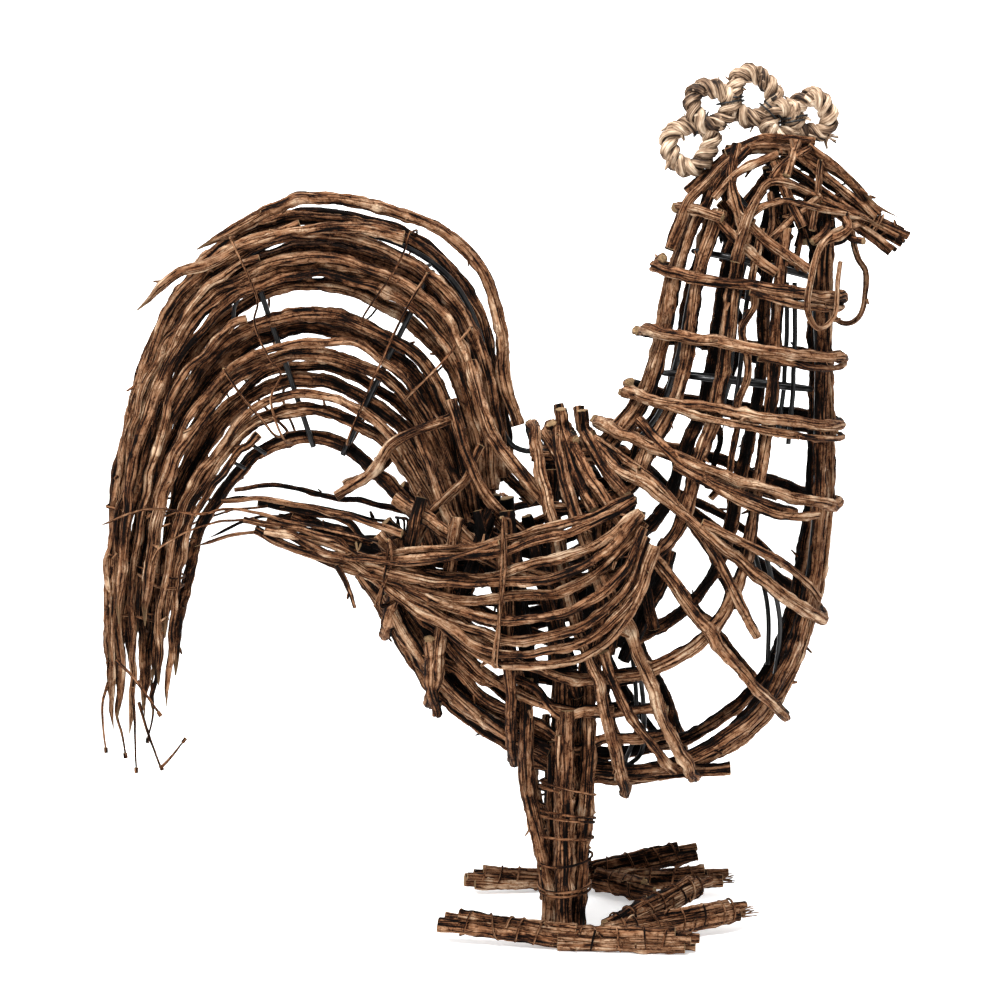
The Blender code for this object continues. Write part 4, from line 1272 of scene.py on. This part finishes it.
def leg_path(side, bearing, spread, height):
    """Middle of a stick bound round a leg's thicker stick, from the floor to its top."""
    foot = leg_foot(side)
    turn = math.radians(bearing)
    low = foot + Vector((math.cos(turn), math.sin(turn), 0)) * LEG_RING
    upper = low + on_figure(0, 0, KNEE)
    if spread is None:
        upper.x = cradle_front() + (HOOP_THICK + LEG_STICK_THICK) / 2 + TOUCH + WEAVE_SLACK
    else:
        upper.x += math.cos(turn) * LEG_RING * (spread - 1)
    knee = Vector((0, 0, KNEE * UNIT))
    top = Vector((0, 0, LEG_TOP))
    return [low, low + knee * 0.3, upper, upper + (top - knee) * height]


def add_legs(bark):
    """Sticks bound round a thicker one with thin vine."""
    for side in (-1, 1):
        form = Form(1200 + side)
        rng = form.rng
        foot = leg_foot(side)
        knee, top = Vector((0, 0, KNEE * UNIT)), Vector((0, 0, LEG_TOP))
        form.twig([foot + SOLE_GAP, foot + knee, foot + top], LEG_CORE_THICK, crooked=0.0003,
                  furrows=3, tone=0.35)
        for bearing, spread, height in LEG_STICKS:
            points = [p + SOLE_GAP for p in leg_path(side, bearing, spread, height)]
            form.twig(points, LEG_STICK_THICK * 0.93, crooked=0.0008, furrows=2, tone=(0.3, 0.9),
                      taper=(1.0, 0.9), snags=3)
        for bearing, thick, high in THIN_LEG_STICKS:
            turn = math.radians(bearing)
            out = Vector((math.cos(turn), math.sin(turn), 0)) * (LEG_RING + 0.0010)
            points = [foot + out * spread + on_figure(0, 0, z)
                      for spread, z in ((1, 2), (1.05, 60), (1.12, high))]
            form.twig(points, thick, crooked=0.0009, tone=(0.1, 0.9), snags=2)
        name = side_name("leg", side)
        form.stand()
        form.finish(name + "_sticks", bark, name)
        form = Form(1210 + side)
        for z, wide, turns in LEG_BINDINGS:
            reach = (LEG_REACH + 0.0012) * wide
            lean = (rng.uniform(-0.25, 0.25), rng.uniform(-0.2, 0.2), 1)
            coil = winding(foot + on_figure(3 * (wide - 1) * 10, 0, z), lean, reach, reach, turns, 0.0030, z)
            form.tie(coil, 0.0017)
        form.finish(side_name("leg_ties", side), bark)


THIN_TOE_LAY = ((-0.2, 0.9), (1.0, 0.8))    # thinner sticks on top, placed as in TOE_LAY
TOE_TIE_SPACING = 0.0150
TOE_TIE_THICK = 0.0014
TIE_CLEARANCE = 0.0009      # lowest middle of a toe's tie above the floor
BRISTLES = 14               # fine ends that the middle toe is frayed into


def add_toe(form, ties, side, start, tip):
    """One toe: a bundle of sticks wound with thin vine. Returns its direction."""
    rng = form.rng
    along = (tip - start).normalized()
    across = Vector((0, 0, 1)).cross(along).normalized()
    for n, (aside, up) in enumerate(TOE_LAY + THIN_TOE_LAY):
        shift = across * side * aside * TOE_THICK / 2 + Vector((0, 0, up * TOE_THICK / 2))
        thin = n >= len(TOE_LAY)
        end = tip + shift - along * (rng.uniform(-0.004, 0.012) if thin else TOE_STAGGER * n)
        form.twig([start + shift, (start + shift).lerp(end, 0.5), end],
                  TOE_THICK * 0.62 if thin else TOE_THICK, crooked=0.0006, furrows=3, tone=(0.2, 1.0),
                  snags=2)
    middle_up = Vector((0, 0, TOE_THICK * 0.28))
    for place in np.arange(0.020, (tip - start).length - 0.006, TOE_TIE_SPACING):
        middle = start + along * (place + rng.uniform(-0.003, 0.003)) + middle_up
        coil = winding(middle, along, TOE_THICK * 0.86, TOE_THICK * 0.98, rng.uniform(1.0, 1.7),
                       rng.choice((-1, 1)) * rng.uniform(0.006, 0.013), place * 900)
        coil[:, 2] = np.maximum(coil[:, 2], TIE_CLEARANCE)
        ties.tie(coil, TOE_TIE_THICK)
    return along


def add_feet(bark):
    """Toes that are bundles of sticks wound with thin vine, the middle one frayed at its tip."""
    for side in (-1, 1):
        tips = {name: on_figure(*place) for name, place in (TOES_RIGHT if side < 0 else TOES_LEFT).items()}
        form = Form(1300 + side)
        ties = Form(1310 + side)
        rng = form.rng
        for toe, knot in toe_knots(side, tips).items():
            tip = leg_foot(side) + tips[toe]
            along = add_toe(form, ties, side, leg_foot(side) + knot, tip)
            if toe != "middle":
                continue
            for _ in range(BRISTLES):
                out = along + Vector(rng.uniform(-0.25, 0.25, 3))
                base = tip + Vector(rng.uniform(-0.003, 0.003, 3)) - along * 0.004
                form.rod(straight(base, out, (0, 0.004, 0.009)), 0.0012, bark=0.5, taper=(1.0, 0.5),
                         tone=1.0)
        name = side_name("foot", side)
        form.stand()
        form.finish(name + "_sticks", bark, name)
        ties.stand()
        ties.finish(side_name("toe_ties", side), bark)


# Further twigs of the head, as x, share of the head's half width and z, with each one's thickness
HEAD_TWIGS = (
    (((142, 0.55, 483), (138, 0.80, 464), (141, 1.0, 446), (144, 1.02, 430)), 0.0064),
    (((179, 0.42, 484), (175, 0.66, 475), (171, 0.86, 464)), 0.0060),
    (((164, 0.62, 471), (170, 0.82, 456), (177, 0.98, 440), (180, 1.0, 433)), 0.0066),
    (((172, 0.44, 480), (200, 0.36, 461), (227, 0.20, 440)), 0.0050),
    (((163, 0.52, 475), (192, 0.46, 458), (222, 0.26, 438)), 0.0048),
    (((186, 0.28, 482), (207, 0.26, 467), (231, 0.13, 442)), 0.0048),
    (((193, 0.62, 449), (211, 0.42, 443), (226, 0.22, 438)), 0.0050),
    (((129, 0.92, 439), (146, 1.06, 421), (164, 1.12, 405)), 0.0058),
    (((136, 0.96, 449), (152, 1.08, 430), (184, 1.10, 407)), 0.0056),
    (((153, 1.02, 426), (170, 1.04, 414), (188, 1.04, 405)), 0.0046),
    (((122, 0.60, 441), (131, 0.72, 461), (150, 0.56, 480)), 0.0058),
    (((128, 0.86, 450), (143, 0.80, 466), (166, 0.58, 477)), 0.0046),
    (((194, 0.44, 473), (190, 0.72, 450), (186, 0.90, 431)), 0.0042),
    (((136, 0.3, 478), (160, 0.24, 486), (190, 0.22, 484)), 0.0052),
    (((150, 0.9, 446), (168, 0.74, 470), (186, 0.5, 480)), 0.0042),
    (((158, 1.0, 424), (172, 0.98, 436), (192, 0.76, 452)), 0.0044),
)
# The twig that bends round the eye, the same way, a little further out than the others
EYE_CURL = ((144, 1.0, 434), (150, 1.0, 440), (157, 0.98, 445), (169, 0.94, 448), (181, 0.84, 446),
            (200, 0.58, 443), (226, 0.2, 438))
EYE_REACH = 1.10
HEAD_FACTS = {"inward": toward_midplane, "taper": (1.0, 0.42), "ends": ("cut", "point"), "snags": 3}
BEAK_STRANDS = 14           # thin sticks that the beak is gathered from
BEAK_OUTER = 9              # how many of them lie round the others
BEAK_BINDINGS = ((-0.06, 3), (0.10, 3), (0.27, 2))      # share of the way along, number of turns
TANGLE = 9                  # thin twigs on each side between the brow and the neck's front


def add_beak(bark):
    """Thin sticks drawn together into the beak, and the vine that binds them."""
    form = Form(1450, toward_midplane)
    rng = form.rng
    for number in range(BEAK_STRANDS):
        turn = 2 * math.pi * number / BEAK_OUTER
        ring = 0.0050 if number < BEAK_OUTER else 0.0016
        start = beside_beak(rng.uniform(-0.7, -0.2), ring * math.cos(turn), ring * math.sin(turn))
        drop = 0.0042 if math.cos(turn) < 0 else 0.0018
        end = beside_beak(rng.uniform(0.72, 1.0),
                          ring * math.cos(turn) * 1.1 - drop * rng.uniform(0.4, 1.6),
                          ring * 1.2 * math.sin(turn))
        form.twig([start, start.lerp(end, 0.5), end], (0.0028, 0.0038), crooked=0.0006, tone=(0.2, 0.9),
                  snags=1)
    form.finish("beak_sticks", bark, "beak")
    form = Form(1460, toward_midplane)
    along = beside_beak(1.0, 0, 0) - beside_beak(0.0, 0, 0)
    for share, turns in BEAK_BINDINGS:
        coil = winding(beside_beak(share, 0.0010, 0), along, 0.0068, 0.0072, turns, 0.0017, share * 30)
        form.tie(coil, 0.0014)
    form.finish("beak_ties", bark)


def add_head(bark):
    """Twigs over the crown and round the eye, and the tangle below them."""
    ridge = ridge_points()
    add_twig(bark, "crown_ridge", 1400, even_points(ridge, 10), HEAD_THICK * 0.92, tone=0.75, **HEAD_FACTS)
    for side in (-1, 1):
        aside = Vector((0, side * (HEAD_THICK + TOUCH), 0))
        crown = head_twig(side, CROWN_ANGLE, CROWN, [ridge[-3] + aside, ridge[-2] + aside])
        for number, (base, points) in enumerate((("crown", crown), ("brow", brow_points(side)))):
            add_twig(bark, side_name(base, side), 1410 + 10 * number + side, points, HEAD_THICK * 0.90,
                     tone=(0.4, 0.9), **HEAD_FACTS)
        form = Form(1440 + side, toward_midplane)
        for places, thick in HEAD_TWIGS:
            form.twig(on_head(side, WIDTHS[0], places), thick, crooked=0.0009, tone=(0.2, 0.9), snags=2)
        form.twig(on_head(side, WIDTHS[0] * EYE_REACH, EYE_CURL), 0.0050, crooked=0.0007, tone=0.8,
                  taper=(1.0, 0.7), snags=1)
        form.finish(side_name("head_twigs", side), bark)
        form = Form(1470 + side, toward_midplane)
        rng = form.rng
        for number in range(TANGLE):
            x, z = 164 + 5.6 * number, 449 - 0.9 * number
            places = (
                (x, rng.uniform(0.15, 0.6), z + rng.uniform(-4, 5)),
                (x + rng.uniform(-2, 7), rng.uniform(0.3, 0.9), z - rng.uniform(10, 16)),
                (x + rng.uniform(-12, 12), rng.uniform(0.3, 0.9),
                 z - rng.uniform(22, 36) * (1 - number / 20)),
            )
            form.twig(on_head(side, WIDTHS[0], places), (0.0036, 0.0052), crooked=0.0009, tone=(0.0, 0.6),
                      snags=1)
        form.finish(side_name("head_tangle", side), bark)


def add_wattles(bark):
    """Loops of vine that hang from the brows."""
    for side, places in ((-1, WATTLE_RIGHT), (1, WATTLE_LEFT)):
        brow = brow_points(side)
        held = curve_value(brow, (len(brow) - 1) * WATTLE_HOLD)
        held.z -= (HEAD_THICK + WATTLE_THICK) / 2 + TOUCH
        path = even_points([held] + on_head(side, WATTLE_REACH, places), 14)
        form = Form(1500 + side)
        form.bar(smooth_path(path, FINE_STEP), WATTLE_THICK * 0.98, bark=0.7, furrows=1, crooked=0.0006,
                 tone=0.9, taper=(1.0, 0.75), snags=2)
        name = side_name("wattle", side)
        form.finish(name + "_vine", bark, name)


STRAND_THICK = 0.0063       # one of the rope's two strands
STRAND_REACH = 0.0032       # its middle from the rope's
ROPE_PITCH = 0.0142         # length of one turn of the rope
ROPE_STEP = 0.0014          # between rings of a strand's mesh
RING_SPREAD = 1.10          # the rope's rings, which lap over each other, beside the solid's
LOOSE_STRAWS = 9            # round each ring
# Where straws stand out in a tuft: the place, and which way they lean
TUFTS = (
    ((0.109, 0.001, 0.476), (-1, 0.2, 0.3)),
    ((0.157, -0.002, 0.523), (0.2, 0.1, 1)),
    ((0.198, 0.002, 0.489), (0.8, -0.3, -0.4)),
)
TUFT_STRAWS = 8


def rope_strand(points, start):
    """Path of one strand that winds round the rope's middle line."""
    middle = smooth_path(points, ROPE_STEP)
    _, side, other = path_frames(middle)
    length = np.linspace(0, ROPE_STEP * (len(middle) - 1), len(middle))
    turn = length / ROPE_PITCH * 2 * math.pi + start
    return (middle + side * (np.cos(turn) * STRAND_REACH)[:, None]
            + other * (np.sin(turn) * STRAND_REACH)[:, None])


def comb_ring(n, middle, size, across):
    """Middle line of one ring of the comb, which isn't quite round and laps over its own start."""
    points = []
    for k in range(26):
        turn = 4.2 + 0.9 * n + 2 * math.pi * k / 24
        stray = RING_SPREAD + 0.08 * math.sin(3 * turn + n) + 0.05 * math.sin(2 * turn + 2 * n)
        points.append(middle + on_figure(size * stray * math.cos(turn), across + 0.9 * math.sin(turn + n),
                                         size * stray * math.sin(turn)))
    return points


def add_comb(straw, wire):
    """Rope of two twisted strands laid in rings, tied with wire and frayed at its ends."""
    form = Form(1600)
    ties = Form(1601)
    rng = form.rng
    middles = comb_middles()
    for n, (middle, (size, across, *_)) in enumerate(zip(middles, COMB_RINGS)):
        points = comb_ring(n, middle, size, across)
        for start in (0.0, math.pi):
            form.bar(rope_strand(points, start + n), STRAND_THICK, bark=0.75, furrows=4, crooked=0.0005,
                     tone=rng.uniform(0.2, 0.9), snags=6)
        for _ in range(LOOSE_STRAWS):
            turn = rng.uniform(0, 2 * math.pi)
            base = middle + on_figure(size * math.cos(turn), across, size * math.sin(turn))
            out = Vector((math.cos(turn), rng.uniform(-1, 1), math.sin(turn)))
            out = (out + Vector(rng.uniform(-1, 1, 3))).normalized()
            form.rod(straight(base, out, (0.0035, 0.0060, 0.0085)), 0.0008, bark=0.2, tone=0.9)
        if n:
            before, before_size = middles[n - 1], COMB_RINGS[n - 1][0]
            joint = (middle * before_size + before * size) / (before_size + size)
            along = (middle - before).cross(Vector((0, 1, 0)))
            ties.rod(winding(joint, along, 0.0085, 0.0062, 1.4, 0.0024, n), 0.0013, crooked=0.0002)
    for place, lean in TUFTS:
        for _ in range(TUFT_STRAWS):
            out = (Vector(lean) + Vector(rng.uniform(-0.5, 0.5, 3))).normalized()
            form.rod(straight(Vector(place), out, (0, 0.004, 0.008)), 0.0010, bark=0.2, tone=0.8)
    form.finish("comb_rope", straw, "comb")
    ties.finish("comb_ties", wire)


# The camera stands level in front of the figure's right side and looks slightly down
CAMERA_PLACE = Vector((-0.0015, -1.5, 0.410))
CAMERA_AIM = Vector((-0.0015, 0.0, 0.265))
SENSOR_WIDTH = 36.0         # millimetres, as the lens
LENS = 87.4
# Lights of the studio: place, width, power
LIGHTS = {
    "key_light": ((-0.7, -1.4, 1.8), 0.45, 50),
    "top_light": ((0.0, -0.4, 2.4), 1.2, 72),
    "fill_light": ((1.5, -1.5, 0.8), 1.0, 9),
}
LIGHT_AIM = Vector((0, 0, 0.27))
WHITE = rgb(1.0, 1.0, 1.0)
FLOOR_GREY = rgb(0.95, 0.95, 0.95)
SKY_STRENGTH = 0.30


def place_object(name, data, place, aim):
    """Adds a camera or a light that looks from its place at another."""
    item = bpy.data.objects.new(name, data)
    bpy.context.scene.collection.objects.link(item)
    item.location = place
    item.rotation_euler = (aim - Vector(place)).to_track_quat("-Z", "Y").to_euler()
    return item


def add_camera():
    data = bpy.data.cameras.new("camera")
    data.sensor_width = SENSOR_WIDTH
    data.lens = LENS
    bpy.context.scene.camera = place_object("camera", data, CAMERA_PLACE, CAMERA_AIM)


def add_lights():
    for name, (place, width, power) in LIGHTS.items():
        data = bpy.data.lights.new(name, "AREA")
        data.shape = "DISK"
        data.size = width
        data.energy = power
        place_object(name, data, place, LIGHT_AIM)


def add_board(name, size, place, tilt, **plain):
    """A flat square of the studio, floor or wall."""
    form = bmesh.new()
    bmesh.ops.create_grid(form, x_segments=1, y_segments=1, size=size)
    turn = Matrix.Rotation(math.radians(tilt), 3, "X")
    bmesh.ops.rotate(form, verts=form.verts, cent=(0, 0, 0), matrix=turn)
    bmesh.ops.translate(form, verts=form.verts, vec=place)
    mesh = bpy.data.meshes.new(name)
    form.to_mesh(mesh)
    form.free()
    board = bpy.data.objects.new(name, mesh)
    bpy.context.scene.collection.objects.link(board)
    mesh.materials.append(Finish(name, **plain).material)


def add_studio():
    """Pale floor, white wall behind, even white surroundings and three lights."""
    add_board("pale_floor", 30.0, (0, 0, 0), 0, Base_Color=FLOOR_GREY, Roughness=0.8,
              Emission_Color=WHITE, Emission_Strength=0.42)
    add_board("white_wall", 6.0, (0, 3.4, 5.9), 90, Base_Color=WHITE, Roughness=1.0,
              Emission_Color=WHITE, Emission_Strength=1.0)
    world = bpy.data.worlds.new("studio")
    world.use_nodes = True
    surroundings = world.node_tree.nodes["Background"].inputs
    surroundings["Color"].default_value = WHITE
    surroundings["Strength"].default_value = SKY_STRENGTH
    bpy.context.scene.world = world
    bpy.context.scene.view_settings.view_transform = "Standard"
    add_lights()


add_camera()
BARK = (bark_finish(), "vine_bark")
WIRE = (wire_finish(), "black_wire")
STRAW = (straw_finish(), "straw_rope")
add_wires(WIRE)
for add_twigs in (add_stakes, add_hoops, add_ribs, add_body_twigs, add_wings, add_plumes, add_tail_ties,
                  add_legs, add_feet, add_head, add_beak, add_wattles):
    add_twigs(BARK)
add_comb(STRAW, WIRE)
add_studio()
